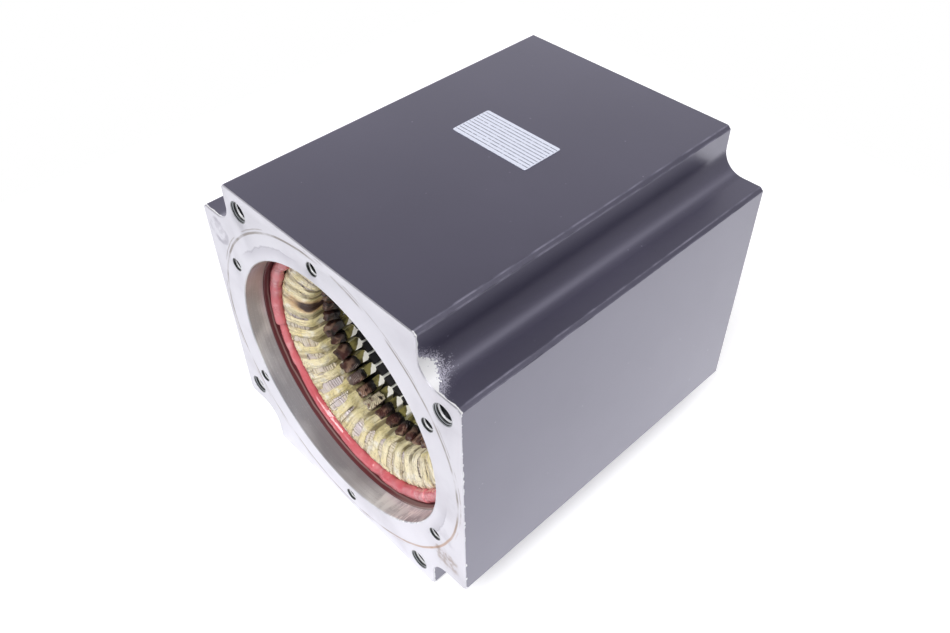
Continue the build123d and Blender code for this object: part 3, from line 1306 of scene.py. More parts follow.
    def tapped(self, shell: Shell, end: End, hole: TappedHole, unit: np.ndarray) -> None:
        """Add one tapped hole: its sink, thread grooves and drilled end.

        Args:
            shell: The housing's faces.
            end: The end that it opens at.
            hole: The hole.
            unit: A unit circle of points.
        """
        radius, sink, pitch = hole.radius, hole.sink, hole.pitch
        sink_rows = [
            (radius + sink, 0.0),
            (radius + 0.55 * sink, 0.25 * sink),
            (radius + 0.5 * sink, 0.6 * sink),
            (radius, sink),
        ]
        thread_rows = [(radius, sink)]
        down = sink
        while down + pitch < hole.depth:
            thread_rows += [(radius + 0.5 * pitch, down + 0.5 * pitch), (radius, down + pitch)]
            down += pitch
        thread_rows += [(radius, hole.depth), (0.02 * radius, hole.depth + 0.55 * radius)]
        bands = []
        for rows in (sink_rows, thread_rows):
            rings = [self.lift(hole.spot + wide * unit, HALF_LENGTH - deep, end) for wide, deep in rows]
            bands.append(np.array(rings))
            shell.grid(bands[-1], loop_v=True, skin=HousingSkin.THREAD)
        shell.cap(bands[-1][-1], skin=HousingSkin.THREAD)

    def bore(self, shell: Shell) -> None:
        """Add the registers and the frame bore, one sheet from end to end.

        Args:
            shell: The housing's faces.
        """
        inside = REGISTER_RADIUS - self.step
        ledge = HALF_LENGTH - REGISTER_DEPTH
        half = [
            (REGISTER_RADIUS + self.mouth_break, HALF_LENGTH),
            (REGISTER_RADIUS, HALF_LENGTH - self.mouth_break),
            (REGISTER_RADIUS, HALF_LENGTH - 0.5 * REGISTER_DEPTH),
            (REGISTER_RADIUS, ledge),
            (inside + self.ledge_break, ledge),
            (inside, ledge - self.ledge_break),
            (inside, ledge - self.ledge_row),
        ]
        profile = np.array(half + [(radius, -level) for radius, level in reversed(half)])
        rings = around(profile[:, :1], turns_of(self.bore_segments), profile[:, 1:])
        shell.grid(rings, loop_v=True, skin=HousingSkin.BORE)

    def build(self) -> None:
        """Make the housing and dress it."""
        shell = Shell()
        rim = self.sides(shell)
        for end in End:
            self.face(shell, end, rim)
        self.bore(shell)
        finishes = [kind().material() for kind in (BodyPaint, MachinedFace, BoreSkin, ThreadSkin)]
        settle(shell.piece("housing_body", finishes), "housing_paint", "housing")


@dataclass
class Core:
    """The laminated core, whose solid has its real shape."""

    node: str = "core_stack"

    def build(self) -> None:
        """Dress the core's own node."""
        slots = frame["nodes"][self.node].data.materials
        slots.clear()
        slots.append(CoreSteel().material())
        LOG.info("%s dressed", self.node)


@dataclass
class SlotInsulation:
    """The papers that line the slots and the strips that close them."""

    root_radius: float = 65.95 * MM
    foot_radius: float = 49.3 * MM
    wall_rows: int = 7
    tooth_width: float = 4.0 * MM
    clearance: float = 0.05 * MM
    thickness: float = 0.4 * MM
    overhang: float = 6.0 * MM
    flare: float = 0.14 * MM
    wave_height: float = 0.35 * MM
    wave_pitch: float = 4.0 * MM
    wave_seed: int = 100
    end_wave: float = 0.7 * MM
    end_scatter: Span = (-1.0, 0.4)
    paper_seed: int = 11
    paper_shares: tuple[float, ...] = (0.9, 0.93, 0.975, 1.0)
    strip_radii: Span = (49.25 * MM, 50.45 * MM)
    strip_clearance: float = 0.1 * MM
    strip_overhang: float = 6.2 * MM
    strip_scatter: float = 0.3
    strip_spreads: Span = (1.35, 1.6)
    strip_taper: float = 0.9
    strip_bend: Span = (0.1 * MM, 1.0 * MM)
    strip_seed: int = 23

    def half_width(self, radius: np.ndarray) -> np.ndarray:
        """Half a slot's width at a radius, between parallel teeth."""
        return radius * math.tan(SLOT_STEP / 2) - self.tooth_width / (2 * math.cos(SLOT_STEP / 2))

    def papers(self) -> None:
        """Make the liners, wavy where they stand out of the core."""
        shell = Shell()
        draw = np.random.default_rng(self.paper_seed)
        radii = np.linspace(self.foot_radius, self.root_radius, self.wall_rows)
        left = np.stack((radii, -self.half_width(radii) + self.clearance), axis=1)
        right = np.stack((radii[::-1], self.half_width(radii[::-1]) - self.clearance), axis=1)
        path = np.concatenate((left, right))
        lean = np.gradient(path, axis=0)
        lean /= np.linalg.norm(lean, axis=1, keepdims=True)
        inward = np.stack((lean[:, 1], -lean[:, 0]), axis=1)
        reach = CORE_REACH + self.overhang
        shares = [-share for share in reversed(self.paper_shares)] + [0.0, *self.paper_shares]
        for k in range(SLOT_COUNT):
            waviness = Ripple(self.wave_seed + k, 2, self.wave_pitch)
            rings = []
            for share in shares:
                out = max(0.0, (abs(share) * reach - CORE_REACH) / self.overhang)
                wave = waviness(path[:, 0], path[:, 1] + share)[:, None]
                outside = path + inward * out * (self.wave_height * wave - self.flare)
                inside = outside + inward * self.thickness
                uneven = self.end_wave * out * draw.uniform(*self.end_scatter)
                level = share * reach + math.copysign(uneven, share)
                rings.append(self.stand(np.concatenate((outside, inside[::-1])), k * SLOT_STEP, level))
            shell.tube(np.array(rings))
        settle(shell.piece("slot_papers", [LinerPaper().material()]), "liner_paper", "slot_liners")

    @staticmethod
    def stand(loop: np.ndarray, turn: float, level: float) -> np.ndarray:
        """Stand a section up at a level.

        Args:
            loop: The section, drawn along +X, as (points, 2).
            turn: The angle that it is turned by about the axis.
            level: Distance from the middle of the motor towards the front.

        Returns:
            Its points in the frame.
        """
        across = loop[:, 0] * math.cos(turn) - loop[:, 1] * math.sin(turn)
        up = loop[:, 0] * math.sin(turn) + loop[:, 1] * math.cos(turn)
        return np.stack((across, np.full_like(across, -level), AXIS_HEIGHT + up), axis=1)

    def strips(self) -> None:
        """Make the closing strips, spread where they stand out of the core."""
        shell = Shell()
        draw = np.random.default_rng(self.strip_seed)
        low, high = self.strip_radii
        slim, wide = self.half_width(np.array(self.strip_radii)) - self.strip_clearance
        loop = np.array([(low, -slim), (high, -wide), (high, wide), (low, slim)])
        start, stop = (CORE_REACH + bend for bend in self.strip_bend)
        for k in range(SLOT_COUNT):
            scatter = draw.uniform(-self.strip_scatter, self.strip_scatter) * MM
            reach = CORE_REACH + self.strip_overhang + scatter
            spread = draw.uniform(*self.strip_spreads)
            stations = ((reach, self.strip_taper * spread), (stop, spread), (start, 1.0))
            rings = [(-level, share) for level, share in stations] + list(reversed(stations))
            sections = [self.stand(loop * (1.0, share), k * SLOT_STEP, level) for level, share in rings]
            shell.tube(np.array(sections))
        settle(shell.piece("slot_strips", [StripPaper().material()]), "liner_paper", "slot_wedges")

    def build(self) -> None:
        """Make both."""
        self.papers()
        self.strips()


@dataclass
class CoilLegs:
    """The coil legs in the slots, with the dark knees where they turn into the heads."""

    leg_radii: Span = (50.55 * MM, 65.45 * MM)
    leg_reach: float = 69.3 * MM
    leg_half_widths: Span = (1.7 * MM, 3.0 * MM)
    knee_radius: float = 51.5 * MM
    knee_level: float = 74.6 * MM
    knee_half: tuple[float, float, float] = (2.7 * MM, 3.55 * MM, 5.6 * MM)
    knee_scatter: Span = (0.82, 1.08)
    knee_rings: int = 21
    knee_sides: int = 28
    knee_pole: float = 0.02
    squareness: float = 0.30
    swell_share: float = 0.12
    wave_pitch: float = 3.6 * MM
    lean_limit: float = 0.24
    spread: float = 0.18
    radius_scatter: Span = (-0.4, 0.5)
    level_scatter: Span = (-0.6, 0.6)
    knee_seed: int = 500
    wave_seed: int = 700

    def knee(self, shell: Shell, slot: int, end: End) -> None:
        """Add one knee, a lump of bundled wire.

        Args:
            shell: The phase's faces.
            slot: Number of its slot.
            end: The end that it lies at.
        """
        place = slot * len(End) + (end is End.REAR)
        draw = np.random.default_rng(self.knee_seed + place)
        waviness = Ripple(self.wave_seed + place, 3, self.wave_pitch)
        polar = np.linspace(self.knee_pole, math.pi - self.knee_pole, self.knee_rings)
        polar, turns = np.meshgrid(polar, turns_of(self.knee_sides), indexing="ij")
        unit = [np.cos(turns) * np.sin(polar), np.sin(turns) * np.sin(polar), np.cos(polar)]
        box = [np.sign(u) * np.abs(u) ** self.squareness for u in unit]
        size = np.array(self.knee_half) * draw.uniform(*self.knee_scatter, 3)
        out, side, along = (half * part for half, part in zip(size, box))
        swell = 1.0 + self.swell_share * waviness(out, side, along)
        lean = draw.uniform(-self.lean_limit, self.lean_limit)
        out, side, along = out * swell, side * swell, along * swell
        ahead, aside = math.cos(lean), math.sin(lean)
        side, along = side * ahead - along * aside, side * aside + along * ahead
        radius = self.knee_radius + out + self.spread * along + draw.uniform(*self.radius_scatter) * MM
        level = self.knee_level + along + draw.uniform(*self.level_scatter) * MM
        shell.tube(around(radius, slot * SLOT_STEP + side / self.knee_radius, level, end))

    def leg(self, shell: Shell, slot: int) -> None:
        """Add the straight leg in its slot.

        Args:
            shell: The phase's faces.
            slot: Number of the slot.
        """
        (near, far), (slim, wide) = self.leg_radii, self.leg_half_widths
        loop = np.array([(near, -slim), (far, -wide), (far, wide), (near, slim)])
        levels = (-self.leg_reach, self.leg_reach)
        shell.tube(np.array([SlotInsulation.stand(loop, slot * SLOT_STEP, level) for level in levels]))

    def build(self) -> None:
        """Make the legs of each phase."""
        varnish = CoilVarnish().material()
        for place, phase in enumerate(PHASES):
            shell = Shell()
            for slot in range(SLOT_COUNT):
                if slot // SLOTS_PER_GROUP % len(PHASES) == place:
                    self.leg(shell, slot)
                    for end in End:
                        self.knee(shell, slot, end)
            settle(shell.piece(f"coil_legs_{phase}", [varnish]), "coil_wire", f"coil_sides_{phase}")


class WireSkin(IntEnum):
    """A coil group's finishes, by their index on its mesh."""

    WIRE = 0
    BACKING = 1


@dataclass
class WindingHead:
    """One winding head: its coil groups of single wires and the lacing round them."""

    end: End
    width: float = 19.0 * MM
    lacing_outset: float = 0.8 * MM
    squareness: float = 0.55
    slope: float = 0.55
    fine_steps: int = 1441
    table_steps: int = 721
    seen_share: float = 0.6
    seen_steps: int = 38
    hidden_steps: int = 9
    wire_radius: float = 0.85 * MM
    wires: int = 40
    wire_sides: int = 6
    wire_steps: int = 16
    wire_drift: float = 0.006
    wire_pinch: float = 0.35
    wire_scatter: float = 0.25
    wire_sinks: Span = (0.0, 0.3)
    wire_widths: Span = (0.9, 1.08)
    group_gap: float = 0.0024
    group_seed: int = 1000
    group_seed_shift: int = 500
    backing_sides: int = 32
    backing_sink: float = 0.25 * MM
    cord_width: float = 1.0 * MM
    cord_gap: float = 1.05 * MM
    cord_counts: tuple[int, int] = (3, 6)
    cord_scatter: float = 0.5
    cord_widths: Span = (0.6, 1.3)
    cord_heights: Span = (0.6, 0.78)
    loose_counts: tuple[int, int] = (0, 2)
    loose_spots: Span = (0.25, 0.75)
    loose_width: float = 0.6
    loose_height: float = 0.5 * MM
    cord_wander: float = 0.95 * MM
    cord_shake: float = 0.22 * MM
    cord_steps: int = 5
    cord_sink: float = 0.1
    inner_edge: float = -0.5 * MM
    tape_widths: Span = (4.4 * MM, 7.2 * MM)
    tape_merge: float = 12.6 * MM
    tape_height: float = 0.50 * MM
    tape_sink: float = 0.08 * MM
    tape_steps: int = 11
    window_starts: Span = (0.20, 0.29)
    window_stops: Span = (0.35, 0.46)
    window_fades: Span = (0.05, 0.06)
    closed_share: float = 0.22
    chain_share: float = 0.13
    chain_steps: int = 12
    chain_height: float = 0.7 * MM
    chain_swing: float = 0.010
    chain_stray: float = 0.012
    knots: int = 5
    knot_shares: Span = (0.07, 0.16)
    knot_sizes: Span = (0.7, 1.5)
    knot_height: float = 0.75 * MM
    knot_pole: float = 0.05
    knot_rings: int = 6
    knot_sides: int = 8
    lacing_seed: int = 3000
    lacing_seed_shift: int = 900
    band_seeds: int = 20
    band_scatter: float = 0.02
    tape_seed: int = 9
    loose_seed: int = 10
    chain_seed: int = 800
    shares: np.ndarray = field(init=False)
    table: np.ndarray = field(init=False)
    outline_length: float = field(init=False)

    def __post_init__(self) -> None:
        """Measure the section once: radius, level and both outward parts, evenly along its outline."""
        turns = np.linspace(0.0, TURN, self.fine_steps)
        low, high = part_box(f"{self.end.word}_lacing")
        levels = sorted((abs(low.y), abs(high.y)))
        outer = high.x - self.lacing_outset
        middle = (outer - self.width / 2, sum(levels) / 2)
        half = (self.width / 2, (levels[1] - levels[0]) / 2 - self.lacing_outset)
        shape = [np.sign(f(turns)) * np.abs(f(turns)) ** self.squareness for f in (np.cos, np.sin)]
        inward = (1.0 - shape[0]) / 2
        shape[1] = shape[1] * np.where(shape[1] > 0.0, 1.0 - self.slope * inward, 1.0)
        spots = np.stack([m + h * s for m, h, s in zip(middle, half, shape)], axis=1)
        run = np.concatenate(([0.0], np.cumsum(np.linalg.norm(np.diff(spots, axis=0), axis=1))))
        even = np.linspace(0.0, run[-1], self.table_steps)
        seen = np.linspace(0.0, self.seen_share, self.seen_steps, endpoint=False)
        hidden = np.linspace(self.seen_share, 1.0, self.hidden_steps, endpoint=False)
        self.shares = np.concatenate((seen, hidden))
        self.outline_length = run[-1]
        spots = np.stack([np.interp(even, run, spots[:, k]) for k in (0, 1)], axis=1)
        ways = np.gradient(spots, axis=0)
        ways[0] = ways[-1] = spots[1] - spots[-2]
        ways /= np.linalg.norm(ways, axis=1, keepdims=True)
        self.table = np.column_stack((spots, ways[:, 1], -ways[:, 0]))

    def seed(self, first: int, shift: int) -> int:
        """Give a first seed, moved on by a shift at the rear end."""
        return first + shift * (self.end is End.REAR)

    def section(self, share: np.ndarray, outset: np.ndarray) -> tuple[np.ndarray, np.ndarray]:
        """Find spots on the section.

        Args:
            share: Share of the way round, from the outer side past the open end.
            outset: Distance outside the section.

        Returns:
            Radius and level of each.
        """
        spot = np.mod(share, 1.0) * (len(self.table) - 1)
        rows = np.arange(len(self.table))
        radius, level, out_r, out_l = (np.interp(spot, rows, self.table[:, k]) for k in range(4))
        return radius + outset * out_r, level + outset * out_l

    def group(self, belt: int, finishes: Sequence[bpy.types.Material]) -> None:
        """Make one coil group, a third of a pole's wires, over a backing that closes the gaps.

        Args:
            belt: Number of the group round the head.
            finishes: Materials, by skin index.
        """
        shell = Shell()
        seed = self.seed(self.group_seed, self.group_seed_shift) + belt
        draw = np.random.default_rng(seed)
        start = (belt * SLOTS_PER_GROUP - 0.5) * SLOT_STEP + self.group_gap
        stop = start + SLOTS_PER_GROUP * SLOT_STEP - 2 * self.group_gap
        turns = np.linspace(start, stop, self.wire_steps)
        pinch = 0.5 + 0.5 * np.cos(turns * SLOT_COUNT)
        ring = turns_of(self.wire_sides)
        drift = Ripple(seed, 2, 0.35)
        for k in range(self.wires):
            share = (k + draw.uniform(-self.wire_scatter, self.wire_scatter)) / self.wires
            path = share + self.wire_drift * drift(turns, np.full_like(turns, 3.0 * share))
            sunk = -self.wire_radius - (self.wire_pinch * pinch + draw.uniform(*self.wire_sinks)) * MM
            wide = self.wire_radius * draw.uniform(*self.wire_widths)
            outset = sunk[:, None] + wide * np.cos(ring)
            along = path[:, None] + wide * np.sin(ring) / self.outline_length
            radius, level = self.section(along, outset)
            shell.tube(around(radius, turns[:, None], level, self.end), skin=WireSkin.WIRE)
        shares = np.linspace(0.0, 1.0, self.backing_sides, endpoint=False)
        sunk = np.full_like(shares, -1.5 * self.wire_radius - self.backing_sink)
        radius, level = self.section(shares, sunk)
        shell.tube(around(radius, turns[:, None], level, self.end), skin=WireSkin.BACKING)
        name = f"{PHASES[belt % len(PHASES)]}{belt // len(PHASES) + 1}"
        piece = shell.piece(f"{self.end.word}_wires_{name}", finishes)
        settle(piece, "winding_wire", f"{self.end.word}_end_turns_{name}")

    def cord(self, shell: Shell, middle: float, width: float, height: float, seed: int) -> None:
        """Add one loop of cord round the section.

        Args:
            shell: The lacing's faces.
            middle: Its angle.
            width: Its width.
            height: How far it stands off the wires.
            seed: Seed of its waviness.
        """
        arc = np.linspace(0.0, math.pi, self.cord_steps)
        swell, wander = Ripple(seed, 1, 0.09), Ripple(seed + 7, 1, 0.26)
        shift = self.cord_wander * wander(self.shares) + self.cord_shake * swell(self.shares + 3.0)
        thick = (1.0 + 0.3 * swell(self.shares))[:, None]
        side = np.cos(arc) * width / 2 * thick + shift[:, None]
        self.strip(shell, middle, side, (np.sin(arc) * thick - self.cord_sink) * height)

    def tape(self, shell: Shell, middle: float, width: float, seed: int) -> None:
        """Add one soaked band round the section, wide enough at both sides of the windows to meet the next.

        Args:
            shell: The lacing's faces.
            middle: Its angle.
            width: Its width between two windows.
            seed: Seed of its windows and waviness.
        """
        draw = np.random.default_rng(seed)
        start, stop = draw.uniform(*self.window_starts), draw.uniform(*self.window_stops)
        width = self.tape_merge if draw.uniform() < self.closed_share else width
        arc = np.linspace(0.0, math.pi, self.tape_steps)
        edge, relief = Ripple(seed, 1, 0.12), Ripple(seed + 5, 2, 0.22)
        before = np.clip((start - self.shares) / self.window_fades[0], 0.0, 1.0)
        after = np.clip((self.shares - stop) / self.window_fades[1], 0.0, 1.0)
        blend = before + after
        reach = width + (self.tape_merge - width) * blend * blend * (3.0 - 2.0 * blend)
        side = np.cos(arc) * (reach / 2 * (1.0 + 0.10 * edge(self.shares)))[:, None]
        ridges = 1.0 + 0.34 * relief(self.shares[:, None], arc[None, :])
        height = self.tape_height * np.sin(arc) ** 0.6 * ridges - self.tape_sink
        self.strip(shell, middle, side, height)

    def knot(self, shell: Shell, turn: float, share: float, size: float) -> None:
        """Add one small knot, a squashed ball.

        Args:
            shell: The lacing's faces.
            turn: Its angle.
            share: Its share of the way round the section.
            size: Its radius along the head.
        """
        polar = np.linspace(self.knot_pole, math.pi - self.knot_pole, self.knot_rings)
        polar, ring = np.meshgrid(polar, turns_of(self.knot_sides), indexing="ij")
        along = share + size * np.sin(polar) * np.cos(ring) / self.outline_length
        outset = np.minimum(self.knot_height * np.cos(polar), self.lacing_outset)
        radius, level = self.section(along, outset)
        angle = turn + size * np.sin(polar) * np.sin(ring) / radius
        shell.tube(around(radius, angle, level, self.end))

    def strip(self, shell: Shell, middle: float, side: np.ndarray, outset: np.ndarray) -> None:
        """Close a band's outside with an inner edge and add it.

        Args:
            shell: The lacing's faces.
            middle: The band's angle.
            side: Offsets along the head, as (shares, points).
            outset: Distances outside the wires, as (shares, points).
        """
        side = np.concatenate((side, side.mean(axis=1, keepdims=True)), axis=1)
        outset = self.closed(outset)
        radius, level = self.section(np.broadcast_to(self.shares[:, None], outset.shape), outset)
        shell.grid(around(radius, middle + side / radius, level, self.end), loop_u=True, loop_v=True)

    def closed(self, outset: np.ndarray) -> np.ndarray:
        """Add a cord's inner edge to its outsets, as (rows, points), and keep them inside the lacing."""
        inner = np.full((len(outset), 1), self.inner_edge)
        return np.minimum(np.concatenate((outset, inner), axis=1), self.lacing_outset)

    def chain(self, shell: Shell, seed: int) -> None:
        """Add the locking cord that runs along the head, wavy from band to band.

        Args:
            shell: The lacing's faces.
            seed: Seed of its waviness.
        """
        turns = turns_of(SLOT_COUNT * self.chain_steps)
        arc = np.linspace(0.0, math.pi, self.cord_steps)
        wander, swell = Ripple(seed, 2, 0.5), Ripple(seed + 3, 2, 0.12)
        ring = (np.cos(turns), np.sin(turns))
        swing = self.chain_swing * np.sin(turns * SLOT_COUNT + seed)
        path = self.chain_share + swing + self.chain_stray * wander(*ring)
        thick = (1.0 + 0.3 * swell(*ring))[:, None]
        along = path[:, None] + np.cos(arc) * thick * self.cord_width / 2 / self.outline_length
        along = np.concatenate((along, path[:, None]), axis=1)
        outset = self.closed((np.sin(arc) * thick - self.cord_sink) * self.chain_height)
        radius, level = self.section(along, outset)
        shell.grid(around(radius, turns[:, None], level, self.end), loop_u=True, loop_v=True)

    def lacing(self, tape: bpy.types.Material) -> None:
        """Make the lacing: a soaked band with cords over every slot, loose cords, and the locking cord.

        Args:
            tape: The lacing's material.
        """
        shell = Shell()
        first = self.seed(self.lacing_seed, self.lacing_seed_shift)
        draw = np.random.default_rng(first)
        radius = self.table[:, 0].mean()
        for k in range(SLOT_COUNT):
            seed = first + self.band_seeds * k
            middle = k * SLOT_STEP + draw.uniform(-self.band_scatter, self.band_scatter)
            self.tape(shell, middle, draw.uniform(*self.tape_widths), seed + self.tape_seed)
            strands = int(draw.integers(*self.cord_counts))
            for strand in range(strands):
                scatter = draw.uniform(-self.cord_scatter, self.cord_scatter) * MM
                spot = (strand - (strands - 1) / 2) * self.cord_gap + scatter
                width = self.cord_width * draw.uniform(*self.cord_widths)
                height = draw.uniform(*self.cord_heights) * MM
                self.cord(shell, middle + spot / radius, width, height, seed + strand)
            for extra in range(int(draw.integers(*self.loose_counts))):
                spot = middle + SLOT_STEP * draw.uniform(*self.loose_spots)
                width = self.loose_width * self.cord_width
                self.cord(shell, spot, width, self.loose_height, seed + self.loose_seed + extra)
            for _ in range(self.knots):
                turn = middle + SLOT_STEP * draw.uniform(0.0, 1.0)
                share = draw.uniform(*self.knot_shares)
                self.knot(shell, turn, share, draw.uniform(*self.knot_sizes) * MM)
        self.chain(shell, first + self.chain_seed)
        piece = shell.piece(f"{self.end.word}_lacing_bands", [tape])
        settle(piece, "lacing_tape", f"{self.end.word}_lacing")

    def build(self, wires: Sequence[bpy.types.Material], tape: bpy.types.Material) -> None:
        """Make the head's groups and lacing.

        Args:
            wires: The groups' materials, by skin index.
            tape: The lacing's material.
        """
        for belt in range(SLOT_COUNT // SLOTS_PER_GROUP):
            self.group(belt, wires)
        self.lacing(tape)


@dataclass
class LeadSleeve:
    """The red sleeving round the front head: a full upper run and a slimmer lower one tucked into it."""

    full_radius: float = 4.25 * MM
    free_radius: float = 3.6 * MM
    slim_radii: Span = (2.9 * MM, 4.6 * MM)
    slim_sunk: float = 0.7 * MM
    full_span: Span = (-50.0, 187.0)
    slim_span: Span = (181.0, 316.0)
    full_seed: int = 41
    slim_seed: int = 57
    rings_per_degree: float = 2.0
    sides: int = 20
    end_round: float = 1.4 * MM
    end_least: float = 0.12
    ties: float = 27.0
    stray: float = 0.25 * MM
    sway: float = 0.35 * MM
    ring_radius: float = field(init=False)
    level: float = field(init=False)

    def __post_init__(self) -> None:
        """Take the ring's place from its node."""
        low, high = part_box("lead_sleeve")
        self.ring_radius = high.x - (high.y - low.y) / 2
        self.level = -(low.y + high.y) / 2

    def run(self, shell: Shell, span: Span, sizes: Span, sunk: float, seed: int) -> None:
        """Add one run of sleeving with rounded ends, lumpy where the ties pinch it.

        Args:
            shell: The sleeve's faces.
            span: Angles of its two ends, in degrees.
            sizes: Radius of the sleeve at each end.
            sunk: How far its first end lies behind the ring's level.
            seed: Seed of its waviness.
        """
        turns = np.radians(np.linspace(*span, int((span[1] - span[0]) * self.rings_per_degree)))
        lumps, wander = Ripple(seed, 1, 0.20), Ripple(seed + 1, 1, 0.5)
        closing = np.minimum(turns - turns[0], turns[-1] - turns) * self.ring_radius / self.end_round
        rounding = np.sqrt(np.clip(1.0 - (1.0 - np.clip(closing, 0.0, 1.0)) ** 2, self.end_least, 1.0))
        ties = 0.5 + 0.5 * np.cos(turns * self.ties + 3.0 * wander(turns))
        size = np.linspace(*sizes, len(turns))
        thick = size * (0.90 + 0.08 * lumps(turns) - 0.05 * ties**4) * rounding
        ring = turns_of(self.sides)[None, :]
        dents = Ripple(seed + 2, 3, 0.35)
        swell = 1.0 + 0.04 * dents(turns[:, None] * 1.6, np.cos(ring), np.sin(ring))
        middle = self.ring_radius - np.maximum(thick - self.free_radius, 0.0) + self.stray * wander(turns)
        level = self.level - sunk * np.linspace(1.0, 0.0, len(turns)) + self.sway * wander(turns + 2.0)
        radius = middle[:, None] + thick[:, None] * swell * np.cos(ring)
        height = level[:, None] + thick[:, None] * swell * np.sin(ring)
        shell.tube(around(radius, turns[:, None], height))

    def build(self) -> None:
        """Make both runs."""
        shell = Shell()
        self.run(shell, self.full_span, (self.full_radius, self.full_radius), 0.0, self.full_seed)
        self.run(shell, self.slim_span, self.slim_radii, self.slim_sunk, self.slim_seed)
        settle(shell.piece("lead_sleeving", [RedSleeving().material()]), "red_sleeving", "lead_sleeve")


@dataclass
class RatingLabel:
    """The label on the top face, with a rounded edge and a shallow dip."""

    corner: float = 1.2 * MM
    steps: int = 6
    edge_drop: float = 0.08 * MM
    edge_scale: float = 0.997
    dip: float = 0.02 * MM
    dip_scales: Span = (0.8, 0.02)

    def build(self) -> None:
        """Make the label over its node."""
        low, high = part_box("rating_label")
        centre = (low + high) / 2
        half = ((high.x - low.x) / 2, (high.y - low.y) / 2)
        loop = []
        for side, (sx, sy) in enumerate(((1, 1), (-1, 1), (-1, -1), (1, -1))):
            for turn in np.linspace(0.0, math.pi / 2, self.steps) + side * math.pi / 2:
                across = sx * (half[0] - self.corner) + self.corner * math.cos(turn)
                along = sy * (half[1] - self.corner) + self.corner * math.sin(turn)
                loop.append((across, along))
        outline = np.array(loop)
        stations = [(1.0, low.z), (1.0, high.z - self.edge_drop), (self.edge_scale, high.z)]
        stations += [(scale, high.z - self.dip) for scale in self.dip_scales]
        rows = []
        for scale, height in stations:
            flat = np.array((centre.x, centre.y)) + outline * scale
            rows.append(np.column_stack((flat, np.full(len(flat), height))))
        shell = Shell()
        shell.tube(np.array(rows))
        settle(shell.piece("label_plate", [LabelFoil().material()]), "label_foil", "rating_label")


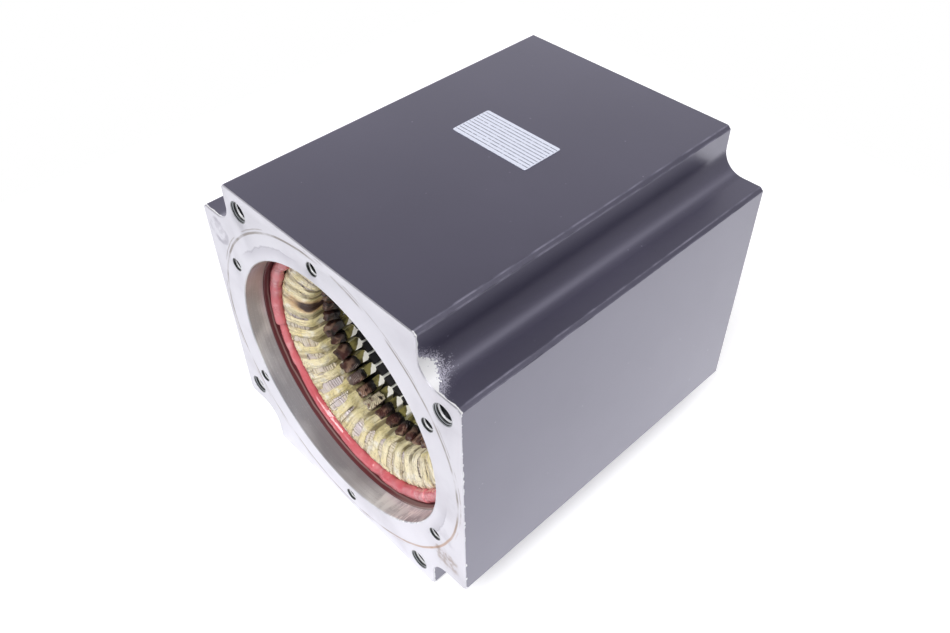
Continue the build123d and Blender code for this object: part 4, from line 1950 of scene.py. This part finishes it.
@dataclass
class Studio:
    """White floor, soft light and the camera."""

    eye: tuple[float, float, float] = (0.27866, -0.27092, 0.46016)
    look: tuple[float, float, float] = (-0.5228, 0.4925, -0.6958)
    roll: float = math.radians(-0.694)
    lens: float = 34.04
    sensor: float = 36.0
    clip: Span = (0.01, 50.0)
    sweep: float = 0.45
    floor_drop: float = 0.02 * MM
    floor_tint: Colour = (0.90, 0.90, 0.91, 1.0)
    floor_cloud: Colour = (0.91, 0.91, 0.92, 1.0)
    floor_glow: Colour = (0.34, 0.34, 0.34, 1.0)
    horizon: float = 1.15
    low_right: float = 0.20
    aside_rise: Span = (-0.2, 0.9)
    zenith: float = 0.18
    sky_rise: Span = (0.05, 0.85)
    sky_tint: Colour = (0.97, 0.96, 1.0, 1.0)
    overhead: float = 1.0
    overhead_left: Span = (0.02, 0.20)
    overhead_right: Span = (0.62, 0.22)
    overhead_rise: Span = (0.55, 0.72)
    sun: float = 2.4
    sun_angle: float = math.radians(35.0)
    sun_from: tuple[float, float, float] = (0.30, -0.72, 0.95)

    def camera(self) -> None:
        """Stand the camera where the photograph was taken from."""
        data = bpy.data.cameras.new("camera")
        data.sensor_fit = "HORIZONTAL"
        data.sensor_width = self.sensor
        data.lens = self.lens
        data.clip_start, data.clip_end = self.clip
        ahead = Vector(self.look).normalized()
        level_right = ahead.cross(Vector((0, 0, 1))).normalized()
        level_up = level_right.cross(ahead)
        right = math.cos(self.roll) * level_right + math.sin(self.roll) * level_up
        up = right.cross(ahead)
        made = bpy.data.objects.new("camera", data)
        turn = Matrix((right, up, -ahead)).transposed().to_4x4()
        made.matrix_world = Matrix.Translation(self.eye) @ turn
        bpy.context.collection.objects.link(made)
        bpy.context.scene.camera = made

    def floor(self) -> None:
        """Lay a white sweep that keeps the shadow."""
        shell = Shell()
        corners = [(x * self.sweep, y * self.sweep, 0.0) for x, y in ((-1, -1), (1, -1), (1, 1), (-1, 1))]
        shell.cap(np.array(corners))
        bench = Bench("floor_white", self.floor_tint)
        bench.lay(bench.noise(2.0), self.floor_cloud)
        path = bench.node("ShaderNodeLightPath").outputs
        seen = Value(bench, path["Is Camera Ray"]).most(Value(bench, path["Is Glossy Ray"]))
        bench.paint({
            "Roughness": 1.0,
            "Specular IOR Level": 0.0,
            "Emission Color": bench.mix(seen, BLACK, self.floor_glow),
            "Emission Strength": 1.0,
        })
        piece = shell.piece("floor", [bench.material])
        piece.location.z = -self.floor_drop

    def lamp(self) -> None:
        """Light softly from above the camera."""
        light = bpy.data.lights.new("soft_key", "SUN")
        light.energy = self.sun
        light.angle = self.sun_angle
        made = bpy.data.objects.new("soft_key", light)
        made.rotation_mode = "QUATERNION"
        made.rotation_quaternion = Vector(self.sun_from).to_track_quat("Z", "Y")
        bpy.context.collection.objects.link(made)

    def sky(self) -> None:
        """Make a sky that is bright near the floor and in a box overhead, and white to the camera."""
        world = bpy.data.worlds.new("white_sky")
        bpy.context.scene.world = world
        world.use_nodes = True
        bench = NodeBench(world.node_tree)
        across, along, rise = bench.parts(bench.node("ShaderNodeTexCoord").outputs["Generated"])
        seen = Value(bench, bench.node("ShaderNodeLightPath").outputs["Is Camera Ray"])
        aside = along - across
        low = self.low_right + (self.horizon - self.low_right) * aside.step(*self.aside_rise)
        glow = low + (self.zenith - low) * rise.step(*self.sky_rise)
        box = across.window(0.0, self.overhead_left, self.overhead_right) * rise.step(*self.overhead_rise)
        glow = glow + self.overhead * box
        back = bench.node("ShaderNodeBackground", {}, {
            "Color": bench.mix(seen, self.sky_tint, WHITE),
            "Strength": glow + seen * (1.0 - glow),
        })
        bench.node("ShaderNodeOutputWorld", {}, {"Surface": back.outputs[0]})

    def build(self) -> None:
        """Set the stage."""
        bpy.context.scene.view_settings.view_transform = "Standard"
        self.floor()
        self.lamp()
        self.sky()
        self.camera()


def main() -> None:
    """Build every piece in order."""
    logging.basicConfig(level=logging.INFO, format="%(name)s: %(message)s")
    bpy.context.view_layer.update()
    Housing().build()
    Core().build()
    SlotInsulation().build()
    CoilLegs().build()
    # The backing is coloured lighter than the wires: painted light that lifts the shade in the gaps between
    # them.
    backing = WireEnamel(
        name="wire_backing",
        lilac=srgb(216, 202, 190),
        tan=srgb(202, 184, 164),
        soot=srgb(150, 128, 114),
    )
    wires = [WireEnamel().material(), backing.material()]
    tape = LacingTape().material()
    for end in End:
        WindingHead(end).build(wires, tape)
    LeadSleeve().build()
    RatingLabel().build()
    Studio().build()


if __name__ == "__main__":
    main()
